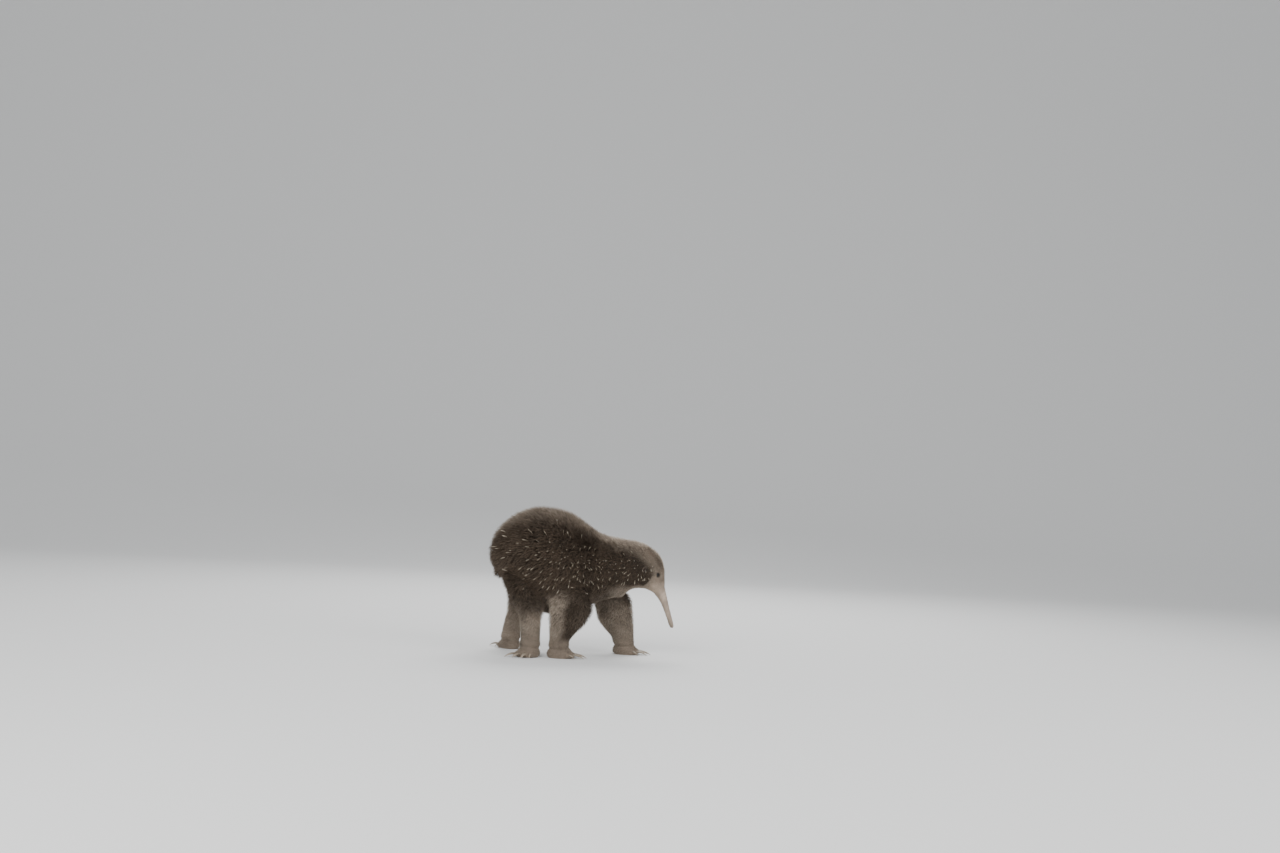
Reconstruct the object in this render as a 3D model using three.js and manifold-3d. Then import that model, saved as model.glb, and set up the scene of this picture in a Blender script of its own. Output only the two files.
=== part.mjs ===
// A long-beaked echidna, life size, walking with its beak down.
// Millimetres, +Z up, the head towards +X, the animal's right side towards -Y, the soles at z = 0.
import * as THREE from "three";
import { mergeVertices } from "three/addons/utils/BufferGeometryUtils.js";
import Module from "manifold-3d";

const wasm = await Module();
wasm.setup();

// General sizes
const GAP = 0.3; // between nodes that touch
const CORE_DEPTH = 0.45; // where locks grow, the body reaches this share of the way from skin to hair tips
const LOCK_ROOT_DEPTH = 0.04; // a lock starts this deep in the coat, well inside the body
const WELD = 1e-4; // points of one shape nearer than this are one point
const SAME_POINT = [2e-3, 4e-3, 1e-3, 8e-3, 1.2e-2, 2e-2]; // the same for a finished solid, tried in turn
const SOLE_Z = 0;
const RIGHT = -1;
const LEFT = 1;
const radians = THREE.MathUtils.degToRad;

// The body line from rump to beak tip. Each station is a section across the line: its middle, how far the
// line points down there, its half height and half width out to the hair tips, and the coat's depth.
const BODY_LINE = [
  { name: "rump end", x: -169, z: 181, pitch: 0, high: 0, wide: 0, coat: 20 },
  { name: "rump", x: -163, z: 182, pitch: 0, high: 26, wide: 27, coat: 21 },
  { name: "croup", x: -148, z: 183, pitch: 0, high: 48, wide: 48, coat: 21 },
  { name: "hips", x: -120, z: 180, pitch: 0, high: 72, wide: 68, coat: 20 },
  { name: "loin", x: -88, z: 172, pitch: 0, high: 91, wide: 82, coat: 19 },
  { name: "back", x: -55, z: 166.5, pitch: 0, high: 97.5, wide: 87, coat: 19 },
  { name: "ribs", x: -22, z: 164, pitch: 0, high: 92, wide: 84, coat: 18 },
  { name: "shoulders", x: 8, z: 161, pitch: 0, high: 77, wide: 73, coat: 16 },
  { name: "neck base", x: 34, z: 158.5, pitch: 0, high: 63.5, wide: 58, coat: 14 },
  { name: "nape", x: 64, z: 159.5, pitch: 4, high: 56, wide: 49, coat: 12 },
  { name: "back of head", x: 91, z: 157.5, pitch: 18, high: 53.5, wide: 44, coat: 9 },
  { name: "crown", x: 111, z: 152.3, pitch: 38, high: 45.5, wide: 37, coat: 6 },
  { name: "brow", x: 124, z: 141.5, pitch: 56, high: 31, wide: 25, coat: 2.5 },
  { name: "beak root", x: 138.5, z: 125.5, pitch: 67, high: 14, wide: 12.5, coat: 0.8 },
  { name: "beak", x: 149.5, z: 106, pitch: 71, high: 7.4, wide: 7.4, coat: 0 },
  { name: "lower beak", x: 159.5, z: 80, pitch: 72, high: 5, wide: 5.2, coat: 0 },
  { name: "beak end", x: 166.5, z: 60, pitch: 71, high: 4, wide: 4.7, coat: 0 },
  { name: "beak tip", x: 168.6, z: 54.5, pitch: 70, high: 0, wide: 0, coat: 0 },
];
const NECK_FROM = 8; // the stations where the body line is parted
const HEAD_FROM = 9.7;
const BEAK_FROM = 13;
const BARE_FROM = 10.6; // from here to the beak the short fur has no locks
const FACE_FADE = 0.8; // stations over which the core rises to the hair tips before that
const BELLY_COAT = 0.5; // the coat on the belly, as a share of the coat on the back
const COAT_LIE = new THREE.Vector3(-1, 0, -0.75); // hair points back and down

// Each leg is a column of level sections from inside the body down to the ankle: middle, half length fore
// and aft, half width, coat depth.
const LEGS = {
  foreleg_right: {
    side: RIGHT,
    foot: { x: -31, out: 55, heading: 6, kind: "fore" },
    knee: 66,
    column: [
      { x: 2, out: 40, z: 150, long: 0, wide: 0, coat: 8 },
      { x: -2, out: 42, z: 144, long: 22, wide: 16, coat: 12 },
      { x: -8, out: 47, z: 128, long: 36, wide: 26, coat: 13 },
      { x: -14, out: 51, z: 104, long: 42, wide: 29, coat: 12 },
      { x: -15, out: 53, z: 82, long: 41, wide: 28, coat: 11 },
      { x: -20, out: 54, z: 62, long: 35, wide: 25, coat: 9 },
      { x: -27, out: 55, z: 46, long: 25, wide: 20, coat: 5 },
      { x: -32, out: 55, z: 32, long: 18, wide: 17, coat: 2 },
      { x: -33, out: 55, z: 18, long: 17, wide: 17, coat: 1.5 },
      { x: -33, out: 55, z: 8, long: 0, wide: 0, coat: 1.5 },
    ],
  },
  foreleg_left: {
    side: LEFT,
    foot: { x: 86, out: 53, heading: 4, kind: "fore" },
    knee: 66,
    column: [
      { x: 14, out: 38, z: 150, long: 0, wide: 0, coat: 8 },
      { x: 20, out: 41, z: 144, long: 22, wide: 16, coat: 11 },
      { x: 38, out: 46, z: 128, long: 37, wide: 25, coat: 11 },
      { x: 57, out: 50, z: 104, long: 39, wide: 27, coat: 10 },
      { x: 63, out: 52, z: 82, long: 37, wide: 26, coat: 9 },
      { x: 67, out: 53, z: 62, long: 35, wide: 23, coat: 7 },
      { x: 74, out: 53, z: 46, long: 28, wide: 20, coat: 4 },
      { x: 81, out: 53, z: 32, long: 21, wide: 17, coat: 2 },
      { x: 84, out: 53, z: 18, long: 18, wide: 17, coat: 1.5 },
      { x: 84, out: 53, z: 8, long: 0, wide: 0, coat: 1.5 },
    ],
  },
  hindleg_right: {
    side: RIGHT,
    foot: { x: -84, out: 60, heading: -128, kind: "hind" },
    knee: 62,
    column: [
      { x: -112, out: 34, z: 166, long: 0, wide: 0, coat: 8 },
      { x: -111, out: 38, z: 160, long: 22, wide: 17, coat: 14 },
      { x: -108, out: 45, z: 140, long: 38, wide: 28, coat: 15 },
      { x: -98, out: 51, z: 112, long: 33, wide: 30, coat: 14 },
      { x: -88, out: 54, z: 90, long: 30, wide: 27, coat: 12 },
      { x: -85, out: 56, z: 70, long: 22, wide: 22, coat: 8 },
      { x: -84, out: 57, z: 50, long: 18.5, wide: 19, coat: 4 },
      { x: -83, out: 57, z: 32, long: 17, wide: 17, coat: 2 },
      { x: -83, out: 57, z: 18, long: 17, wide: 17, coat: 1.5 },
      { x: -83, out: 57, z: 8, long: 0, wide: 0, coat: 1.5 },
    ],
  },
  hindleg_left: {
    side: LEFT,
    foot: { x: -124, out: 59, heading: -122, kind: "hind" },
    knee: 62,
    column: [
      { x: -112, out: 34, z: 166, long: 0, wide: 0, coat: 8 },
      { x: -111, out: 38, z: 160, long: 22, wide: 17, coat: 14 },
      { x: -109, out: 45, z: 140, long: 38, wide: 28, coat: 15 },
      { x: -105, out: 51, z: 112, long: 35, wide: 30, coat: 14 },
      { x: -106, out: 54, z: 90, long: 29, wide: 27, coat: 12 },
      { x: -112, out: 56, z: 70, long: 22, wide: 22, coat: 8 },
      { x: -118, out: 57, z: 50, long: 18.5, wide: 19, coat: 4 },
      { x: -122, out: 57, z: 32, long: 17, wide: 17, coat: 2 },
      { x: -123, out: 57, z: 18, long: 17, wide: 17, coat: 1.5 },
      { x: -123, out: 57, z: 8, long: 0, wide: 0, coat: 1.5 },
    ],
  },
};
const BARE_LEG_Z = 50; // below this height the short fur of a leg has no locks
const LEG_FADE = 8; // heights over which the core rises to the hair tips, above that and below
const ANKLE_Z = 25;
const LEG_LIE = new THREE.Vector3(-0.35, 0, -1);

// Feet: a flat-soled pad with five toes, each with a claw. Angles are from the foot's own heading,
// positive towards the animal's midline; the second toe of the hind foot has the long grooming claw.
const FEET = {
  fore: {
    length: 21,
    width: 18.5,
    height: 30,
    top: 22,
    toes: [
      { angle: 52, reach: 15, claw: 11 },
      { angle: 25, reach: 18, claw: 18 },
      { angle: 0, reach: 19, claw: 21 },
      { angle: -25, reach: 18, claw: 18 },
      { angle: -52, reach: 15, claw: 11 },
    ],
  },
  hind: {
    length: 20,
    width: 17.5,
    height: 30,
    top: 22,
    toes: [
      { angle: -56, reach: 14, claw: 6 },
      { angle: -27, reach: 17, claw: 24 },
      { angle: 0, reach: 18, claw: 18 },
      { angle: 26, reach: 17, claw: 14 },
      { angle: 52, reach: 14, claw: 10 },
    ],
  },
};
const TOE = { radius: 6, length: 8.5, z: 5 };
const CLAW = {
  halfWidth: 2.9,
  halfThickness: 2.3,
  root: 5,
  z: 5.2,
  arch: 9,
  clear: 0.6,
  splay: 0.55,
  sides: 5,
  shares: [0, 0.35, 0.7, 1],
  taper: [0.9, 1, 0.75, 0],
  smallUnder: 13,
  smallShare: 0.75,
};

// Small parts of the head, placed on the body line by station and by angle round it from the top
const EYE = { station: 11.95, angle: 62, radius: 3.9, sunk: 2.2 };
const LIDS = { opening: 2.9, radius: 1.3, slant: 1.2, out: 2.5 };
const EAR = { station: 10.8, angle: 80, high: 9, long: 5.5, deep: 5.5 };
const EAR_HOLLOW = { wall: 1.4, shift: 2.2 };
const EAR_FORWARD = 0.25; // how far the openings of the ears turn to the front
const NOSTRIL = { station: 16.2, angle: 42, radius: 0.75, length: 2.4 };
const MOUTH = { gape: 0.7, length: 9, width: 20, low: 1.1 };
const TAIL = { x: -139, z: 150, length: 40, radius: 12.5, pitch: 55 };

// Coat: rows of flat locks, and spines that stand a little past them
const BODY_LOCKS = { spacing: 33, width: 38, thickness: 9, run: 48, sides: 3 };
const LEG_LOCKS = { spacing: 32, width: 36, thickness: 8, run: 37, sides: 3 };
const SPINE = { radius: 1.6, run: 20, past: 4.5, sides: 3, taper: [1, 0.85, 0] };
const LOCK_TAPER = [0.82, 1, 0.7, 0];
const LOCK_SIZES = { least: 0.92, most: 1.08 };
const LOCK_APART = 1.08; // from lock to lock in a row, as a share of a lock's width
const LOCK_JITTER = 0.12; // how far a lock stands from its even place, as a share of the way to the next
const FEWEST_LOCKS = 5;
const LOCKS_TO = radians(140); // locks grow up to this angle from the top, and the belly's fur is short
const BELLY_FADE = { before: 0.15, after: 0.25 }; // angles over which the core rises to the hair tips there
const SPINE_SIZES = { least: 0.8, most: 1.15 };
const SPINES_TO = radians(118); // spines grow on back and flanks, up to this angle from the top
const HEAD_ROWS = { from: 10.35, to: 10.1, spines: 4, spinesFrom: 10.1, spinesTo: 10.5 };
const NECK_ROWS = { from: 9.3, to: 8.5, spines: 9, spinesFrom: 8.6, spinesTo: 9.4 };
const TORSO_ROWS = { from: 7.7, to: 0.6, spines: 38, spinesFrom: 0.6, spinesTo: 7.6 };
const LEG_ROWS = { from: 1.9, to: 4.5 };
const ROOM_SHARE = 1.1; // a flat piece's room is this much wider, so that its thin edges keep the gap too
const KEPT_SHARE = 0.55; // a lock or spine that would be cut to less than this share is left out

// Materials
const finish = (color, roughness) => new THREE.MeshStandardMaterial({ color, roughness, metalness: 0 });
const COAT = finish(0x33291f, 0.95);
const PALE_FUR = finish(0x8d7f70, 0.9);
const SKIN = finish(0x6e6258, 0.6);
const CLAW_HORN = finish(0x8c8071, 0.4);
const EYE_BLACK = finish(0x0b0908, 0.08);

// The same numbers in the same order on every run
function drawsFrom(seed) {
  let state = seed;
  return () => {
    state = (state + 0x6d2b79f5) | 0;
    let mixed = Math.imul(state ^ (state >>> 15), 1 | state);
    mixed = (mixed + Math.imul(mixed ^ (mixed >>> 7), 61 | mixed)) ^ mixed;
    return ((mixed ^ (mixed >>> 14)) >>> 0) / 4294967296;
  };
}

// Closed meshes and solids
function welded(geometry) {
  const bare = geometry.clone();
  for (const name of Object.keys(bare.attributes)) {
    if (name !== "position") bare.deleteAttribute(name);
  }
  return mergeVertices(bare, WELD);
}

function solidFrom(geometry) {
  const mesh = welded(geometry);
  const solid = new wasm.Manifold(
    new wasm.Mesh({
      numProp: 3,
      vertProperties: new Float32Array(mesh.attributes.position.array),
      triVerts: new Uint32Array(mesh.index.array),
    }),
  );
  return solid;
}

function geometryFrom(solid) {
  const { vertProperties, triVerts } = solid.getMesh();
  const geometry = new THREE.BufferGeometry();
  geometry.setAttribute("position", new THREE.BufferAttribute(new Float32Array(vertProperties), 3));
  geometry.setIndex(new THREE.BufferAttribute(new Uint32Array(triVerts), 1));
  geometry.computeVertexNormals();
  return geometry;
}

function swollen(geometry, by) {
  const mesh = welded(geometry);
  mesh.computeVertexNormals();
  const { position, normal } = mesh.attributes;
  for (let i = 0; i < position.count; i++) {
    position.setXYZ(
      i,
      position.getX(i) + normal.getX(i) * by,
      position.getY(i) + normal.getY(i) * by,
      position.getZ(i) + normal.getZ(i) * by,
    );
  }
  return mesh;
}

function joined(solids) {
  return solids.reduce((sum, solid) => sum.add(solid));
}

function largest(solid) {
  return solid.decompose().reduce((best, body) => (body.volume() > best.volume() ? body : best));
}

// The same solid with points closer than a hair's breadth made one and the slivers between them dropped.
// A width that would leave an edge to more than two faces isn't used.
function cleaned(solid) {
  for (const width of SAME_POINT) {
    const mesh = mergeVertices(geometryFrom(solid).deleteAttribute("normal"), width);
    const corners = mesh.index.array;
    const kept = [];
    for (let i = 0; i < corners.length; i += 3) {
      const [a, b, c] = corners.slice(i, i + 3);
      if (a !== b && b !== c && c !== a) kept.push(a, b, c);
    }
    mesh.setIndex(kept);
    if (everyEdgeOnce(kept)) return largest(solidFrom(mesh));
  }
  throw new Error("no width gives a clean surface");
}

// On a closed surface each edge is passed once each way
function everyEdgeOnce(corners) {
  const passed = new Set();
  for (let i = 0; i < corners.length; i += 3) {
    for (const [from, to] of [[0, 1], [1, 2], [2, 0]]) {
      const edge = `${corners[i + from]}>${corners[i + to]}`;
      if (passed.has(edge)) return false;
      passed.add(edge);
    }
  }
  return true;
}

// Forms: a form gives the point on its outer surface at a station and an angle, and the coat's depth there
function smoothly(stations, keys) {
  const points = stations.map((s) => new THREE.Vector3(...keys.map((key) => s[key])));
  const curve = new THREE.CatmullRomCurve3(points, false, "catmullrom", 0.5);
  const last = stations.length - 1;
  return (station) => curve.getPoint(THREE.MathUtils.clamp(station / last, 0, 1));
}

const BODY_STATIONS = BODY_LINE.map((s) => ({ ...s, y: 0 }));
const bodyMiddle = smoothly(BODY_STATIONS, ["x", "y", "z"]);
const bodySize = smoothly(BODY_STATIONS, ["high", "wide", "coat"]);
const bodyPitch = smoothly(BODY_STATIONS, ["pitch", "y", "y"]);

function bodyAxes(station) {
  const pitch = radians(bodyPitch(station).x);
  return {
    middle: bodyMiddle(station),
    along: new THREE.Vector3(Math.cos(pitch), 0, -Math.sin(pitch)),
    up: new THREE.Vector3(Math.sin(pitch), 0, Math.cos(pitch)),
  };
}

const bodyForm = {
  last: BODY_LINE.length - 1,
  lie: COAT_LIE,
  turn: -1,
  point(station, angle) {
    const { middle, up } = bodyAxes(station);
    const size = bodySize(station);
    const point = middle.addScaledVector(up, Math.max(0, size.x) * Math.cos(angle));
    point.y -= Math.max(0, size.y) * Math.sin(angle);
    return point;
  },
  coat(station, angle) {
    const above = (1 + Math.cos(angle)) / 2;
    return Math.max(0, bodySize(station).z) * THREE.MathUtils.lerp(BELLY_COAT, 1, Math.sqrt(above));
  },
  core(station, angle) {
    const face = THREE.MathUtils.smoothstep(station, BARE_FROM - FACE_FADE, BARE_FROM);
    const fromTop = Math.acos(Math.cos(angle));
    const { before, after } = BELLY_FADE;
    const belly = THREE.MathUtils.smoothstep(fromTop, LOCKS_TO - before, LOCKS_TO + after);
    return THREE.MathUtils.lerp(CORE_DEPTH, 1, Math.max(face, belly));
  },
};

function legForm(leg) {
  const column = leg.column.map((s) => ({ ...s, y: leg.side * s.out }));
  const middle = smoothly(column, ["x", "y", "z"]);
  const size = smoothly(column, ["long", "wide", "coat"]);
  return {
    last: column.length - 1,
    lie: LEG_LIE,
    turn: 1,
    point(station, angle) {
      const { x: long, y: wide } = size(station);
      const point = middle(station);
      point.x += Math.max(0, long) * Math.cos(angle);
      point.y += Math.max(0, wide) * Math.sin(angle);
      return point;
    },
    coat: (station) => size(station).z,
    core(station) {
      const { z } = middle(station);
      const haired = THREE.MathUtils.smoothstep(z, BARE_LEG_Z - LEG_FADE, BARE_LEG_Z + LEG_FADE);
      return THREE.MathUtils.lerp(1, CORE_DEPTH, haired);
    },
  };
}

const STEP = 0.02;

function tangents(form, station, angle) {
  const at = THREE.MathUtils.clamp(station, STEP, form.last - STEP);
  return {
    along: form.point(at + STEP, angle).sub(form.point(at - STEP, angle)).divideScalar(2 * STEP),
    round: form.point(at, angle + STEP).sub(form.point(at, angle - STEP)).divideScalar(2 * STEP),
  };
}

function outward(form, station, angle) {
  const { along, round } = tangents(form, station, angle);
  return along.cross(round).multiplyScalar(form.turn).normalize();
}

function inCoat(form, station, angle, depth) {
  const sunk = form.coat(station, angle) * (1 - depth);
  return form.point(station, angle).addScaledVector(outward(form, station, angle), -sunk);
}

// The closed body of a form, as deep in the coat as its core lies
function formBody(form, around, rowsPerStation) {
  const rows = form.last * rowsPerStation;
  const shell = new THREE.SphereGeometry(1, around, rows);
  const { position } = shell.attributes;
  for (let row = 0; row <= rows; row++) {
    const station = (form.last * row) / rows;
    for (let column = 0; column <= around; column++) {
      const angle = form.turn * 2 * Math.PI * ((column % around) / around);
      const { x, y, z } = inCoat(form, endless(form, station), angle, form.core(station, angle));
      const pole = row === 0 || row === rows;
      const at = pole ? poleOf(form, station) : { x, y, z };
      position.setXYZ(row * (around + 1) + column, at.x, at.y, at.z);
    }
  }
  return shell;
}

function endless(form, station) {
  return THREE.MathUtils.clamp(station, STEP, form.last - STEP);
}

// A form closes in one point at each end, as deep as the surface round it
function poleOf(form, station) {
  const near = endless(form, station);
  const sum = new THREE.Vector3();
  for (const quarter of [0, 1, 2, 3]) {
    sum.add(inCoat(form, near, (quarter * Math.PI) / 2, form.core(station, 0)));
  }
  return sum.divideScalar(4);
}

// A tapering piece along a trail of points, as a cone bent to it: each point has its own outward direction.
// Grown, it is the room that the piece needs with a gap all round.
function taperAlong(trail, halfWidths, halfThicknesses, sides, grow = 0) {
  const parts = trail.length - 1;
  const cone = new THREE.ConeGeometry(1, 1, sides, parts);
  const frames = trail.map(({ point, out }, i) => {
    const before = trail[Math.max(0, i - 1)].point;
    const after = trail[Math.min(parts, i + 1)].point;
    const way = after.clone().sub(before).normalize();
    const across = way.clone().cross(out).normalize();
    return { point, way, across, lift: across.clone().cross(way).normalize() };
  });
  const { position } = cone.attributes;
  for (let i = 0; i < position.count; i++) {
    const share = position.getY(i) + 0.5;
    const part = Math.round(share * parts);
    const { point, way, across, lift } = frames[part];
    const tip = part === parts;
    const circle = tip ? 0 : 1 / (1 - part / parts);
    const swell = grow ? ROOM_SHARE : 1;
    const at = point
      .clone()
      .addScaledVector(across, position.getX(i) * circle * (halfWidths[part] * swell + grow))
      .addScaledVector(lift, position.getZ(i) * circle * (halfThicknesses[part] * swell + grow));
    if (tip) at.addScaledVector(way, grow);
    if (part === 0) at.addScaledVector(way, -grow);
    position.setXYZ(i, at.x, at.y, at.z);
  }
  return cone;
}

// Coat

// Stations and angles met on the way along the lie of the coat
function combed(form, station, angle, run, parts) {
  const met = [{ station, angle }];
  const finer = 4;
  for (let i = 1; i <= parts * finer; i++) {
    const { along, round } = tangents(form, station, angle);
    const out = outward(form, station, angle);
    const way = form.lie.clone().addScaledVector(out, -form.lie.dot(out)).normalize();
    const aa = along.dot(along);
    const ar = along.dot(round);
    const rr = round.dot(round);
    const area = Math.max(aa * rr - ar * ar, 1);
    const step = run / parts / finer;
    station += (step * (way.dot(along) * rr - way.dot(round) * ar)) / area;
    angle += (step * (way.dot(round) * aa - way.dot(along) * ar)) / area;
    station = THREE.MathUtils.clamp(station, 2 * STEP, form.last - 2 * STEP);
    if (i % finer === 0) met.push({ station, angle });
  }
  return met;
}

function lockOn(form, { station, angle, size = 1 }, locks, grow = 0) {
  const parts = LOCK_TAPER.length - 1;
  const trail = combed(form, station, angle, locks.run * size, parts).map((met, i) => {
    const depth = THREE.MathUtils.lerp(LOCK_ROOT_DEPTH, 1, Math.sin(((i / parts) * Math.PI) / 2));
    return {
      point: inCoat(form, met.station, met.angle, depth),
      out: outward(form, met.station, met.angle),
    };
  });
  const widths = LOCK_TAPER.map((share) => (share * locks.width) / 2);
  const thicknesses = LOCK_TAPER.map((share) => (share * locks.thickness) / 2);
  return taperAlong(trail, widths, thicknesses, locks.sides, grow);
}

function spineOn(form, { station, angle, size = 1 }, grow = 0) {
  const [root, , tip] = combed(form, station, angle, SPINE.run * size, 2);
  const out = outward(form, tip.station, tip.angle);
  const from = inCoat(form, root.station, root.angle, 0);
  const to = inCoat(form, tip.station, tip.angle, 1).addScaledVector(out, SPINE.past * size);
  const trail = SPINE.taper.map((_, i) => ({
    point: from.clone().lerp(to, i / (SPINE.taper.length - 1)),
    out,
  }));
  const radii = SPINE.taper.map((share) => share * SPINE.radius);
  return taperAlong(trail, radii, radii, SPINE.sides, grow);
}

function girth(form, station) {
  let sum = 0;
  const parts = 24;
  for (let i = 0; i < parts; i++) {
    const from = form.point(station, (2 * Math.PI * i) / parts);
    sum += from.distanceTo(form.point(station, (2 * Math.PI * (i + 1)) / parts));
  }
  return sum;
}

// Places in staggered rows round a form, from one station to another
function rowsOn(form, from, to, upTo, { spacing, width }, draw) {
  const places = [];
  const way = Math.sign(to - from);
  let gone = 0;
  let row = 0;
  for (let station = from; (to - station) * way >= 0; station += way * STEP) {
    if (gone >= row * spacing) {
      const count = Math.max(FEWEST_LOCKS, Math.round(girth(form, station) / (width * LOCK_APART)));
      for (let i = 0; i < count; i++) {
        const angle = (2 * Math.PI * (i + (row % 2) / 2 + LOCK_JITTER * (draw() - 0.5))) / count;
        const size = THREE.MathUtils.lerp(LOCK_SIZES.least, LOCK_SIZES.most, draw());
        if (Math.acos(Math.cos(angle)) <= upTo) places.push({ station, angle, size });
      }
      row += 1;
    }
    gone += form.point(station, Math.PI / 2).distanceTo(form.point(station + way * STEP, Math.PI / 2));
  }
  return places;
}

// Places drawn at random over a form's surface, with equal numbers to equal areas
function scatteredOn(form, from, to, angles, count, draw) {
  const places = [];
  const areaAt = (station, angle) => {
    const { along, round } = tangents(form, station, angle);
    return along.cross(round).length();
  };
  const trials = 400;
  let most = 0;
  for (let i = 0; i < trials; i++) {
    most = Math.max(most, areaAt(THREE.MathUtils.lerp(from, to, draw()), angles * (2 * draw() - 1)));
  }
  while (places.length < count) {
    const station = THREE.MathUtils.lerp(from, to, draw());
    const angle = angles * (2 * draw() - 1);
    if (areaAt(station, angle) <= most * draw()) continue;
    places.push({ station, angle, size: THREE.MathUtils.lerp(SPINE_SIZES.least, SPINE_SIZES.most, draw()) });
  }
  return places;
}

// Small closed shapes
function ellipsoid(halfSizes, middle, turn = new THREE.Quaternion(), around = 10, rows = 7) {
  return new THREE.SphereGeometry(1, around, rows)
    .scale(...halfSizes)
    .applyQuaternion(turn)
    .translate(...middle);
}

function box(sizes, middle, turn = new THREE.Quaternion()) {
  return new THREE.BoxGeometry(...sizes).applyQuaternion(turn).translate(...middle);
}

// A turn that takes +X to one direction and keeps +Z as near as it can to another
function turnTo(forward, upward) {
  const across = upward.clone().cross(forward).normalize();
  const up = forward.clone().cross(across).normalize();
  return new THREE.Quaternion().setFromRotationMatrix(
    new THREE.Matrix4().makeBasis(forward.clone().normalize(), across, up),
  );
}

// Everything above or below a level, and everything behind a station of the body line
const ROOM = 600;
const above = (z) => solidFrom(box([ROOM, ROOM, ROOM], [0, 0, z + ROOM / 2]));
const below = (z) => solidFrom(box([ROOM, ROOM, ROOM], [0, 0, z - ROOM / 2]));

function behind(station) {
  const { middle, along, up } = bodyAxes(station);
  const back = middle.addScaledVector(along, (GAP - ROOM) / 2);
  return solidFrom(box([ROOM, ROOM, ROOM], back, turnTo(along, up)));
}

// A thin cut across the body line
function bodyCut(station) {
  const { middle, along, up } = bodyAxes(station);
  const size = bodySize(station);
  const clear = 1.35;
  return solidFrom(box([GAP, 2 * clear * size.y, 2 * clear * size.x], middle, turnTo(along, up)));
}

// The body line in four pieces, from the rear
const bodyShell = formBody(bodyForm, 20, 2);
const bodyRoom = solidFrom(swollen(bodyShell, GAP));
const [torsoCore, neckCore, headCore, beakCore] = solidFrom(bodyShell)
  .subtract(joined([NECK_FROM, HEAD_FROM, BEAK_FROM].map(bodyCut)))
  .decompose()
  .sort((a, b) => a.boundingBox().min[0] - b.boundingBox().min[0]);

// A core with locks and spines fused on. What would cross a neighbour is cut clear of it, and a piece that
// would lose most of itself that way is left out.
function coated(core, pieces, keepOut) {
  const grown = [core];
  for (const piece of pieces) {
    const left = piece.subtract(keepOut);
    if (left.volume() < KEPT_SHARE * piece.volume()) continue;
    grown.push(largest(left));
  }
  return largest(joined(grown));
}

// Legs, each parted at the knee and the ankle
const SEED = 20231;
const draw = drawsFrom(SEED);
const nodes = new Map();

function headingOf(leg, degrees) {
  const turn = radians(leg.foot.heading + degrees) * -leg.side;
  return new THREE.Vector3(Math.cos(turn), Math.sin(turn), 0);
}

function clawOn(leg, toe, grow = 0) {
  const start = new THREE.Vector3(leg.foot.x, leg.side * leg.foot.out, 0).addScaledVector(
    headingOf(leg, toe.angle),
    toe.reach + TOE.length - CLAW.root,
  );
  const way = headingOf(leg, toe.angle * CLAW.splay);
  const trail = CLAW.shares.map((share) => ({
    point: start
      .clone()
      .addScaledVector(way, share * (toe.claw + CLAW.root))
      .setZ(CLAW.z + CLAW.arch * share * (1 - share) - (CLAW.z - CLAW.clear) * share ** 2),
    out: new THREE.Vector3(0, 0, 1),
  }));
  const small = toe.claw < CLAW.smallUnder ? CLAW.smallShare : 1;
  const widths = CLAW.taper.map((share) => share * CLAW.halfWidth * small);
  const thicknesses = CLAW.taper.map((share) => share * CLAW.halfThickness * small);
  return solidFrom(taperAlong(trail, widths, thicknesses, CLAW.sides, grow));
}

function footOf(leg, ankle) {
  const foot = FEET[leg.foot.kind];
  const y = leg.side * leg.foot.out;
  const up = new THREE.Vector3(0, 0, 1);
  const pad = ellipsoid(
    [foot.length, foot.width, foot.height / 2],
    [leg.foot.x, y, foot.top - foot.height / 2],
    turnTo(headingOf(leg, 0), up),
    12,
    6,
  );
  const toes = foot.toes.map((toe) => {
    const way = headingOf(leg, toe.angle);
    const middle = [leg.foot.x + way.x * toe.reach, y + way.y * toe.reach, TOE.z];
    return ellipsoid([TOE.length, TOE.radius, TOE.radius], middle, turnTo(way, up), 6, 4);
  });
  return largest(
    joined([pad, ...toes].map(solidFrom).concat(ankle))
      .subtract(below(SOLE_Z))
      .subtract(joined(foot.toes.map((toe) => clawOn(leg, toe, GAP)))),
  );
}

const limbRooms = [];
let legRoom = bodyRoom;
for (const [name, leg] of Object.entries(LEGS)) {
  const form = legForm(leg);
  const shell = formBody(form, 12, 2);
  const core = solidFrom(shell).subtract(legRoom);
  const upperCore = largest(core.subtract(below(leg.knee + GAP / 2)));
  const lower = largest(core.subtract(above(leg.knee - GAP / 2)).subtract(below(ANKLE_Z + GAP / 2)));
  const ankle = largest(core.subtract(above(ANKLE_Z - GAP / 2)));
  const places = rowsOn(form, LEG_ROWS.from, LEG_ROWS.to, Math.PI, LEG_LOCKS, draw);
  const locks = places.map((place) => solidFrom(lockOn(form, place, LEG_LOCKS)));
  const shellRoom = solidFrom(swollen(shell, GAP));
  const lowerRoom = shellRoom.subtract(above(leg.knee + GAP / 2));
  const [limb, side] = name.split("_");
  const upper = coated(upperCore, locks, legRoom.add(lowerRoom));
  nodes.set(`${limb}_${side}_upper`, { solid: upper, material: COAT });
  nodes.set(`${limb}_${side}_lower`, { solid: lower, material: PALE_FUR });
  nodes.set(`${limb}_${side}_foot`, { solid: footOf(leg, ankle), material: SKIN });
  FEET[leg.foot.kind].toes.forEach((toe, i) => {
    nodes.set(`${limb}_${side}_claw_${i + 1}`, { solid: clawOn(leg, toe), material: CLAW_HORN });
  });
  const lockRooms = places.map((place) => solidFrom(lockOn(form, place, LEG_LOCKS, GAP)));
  limbRooms.push(shellRoom, ...lockRooms);
  legRoom = joined([legRoom, shellRoom, ...lockRooms]);
}
const limbRoom = joined(limbRooms).subtract(solidFrom(bodyShell));

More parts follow.
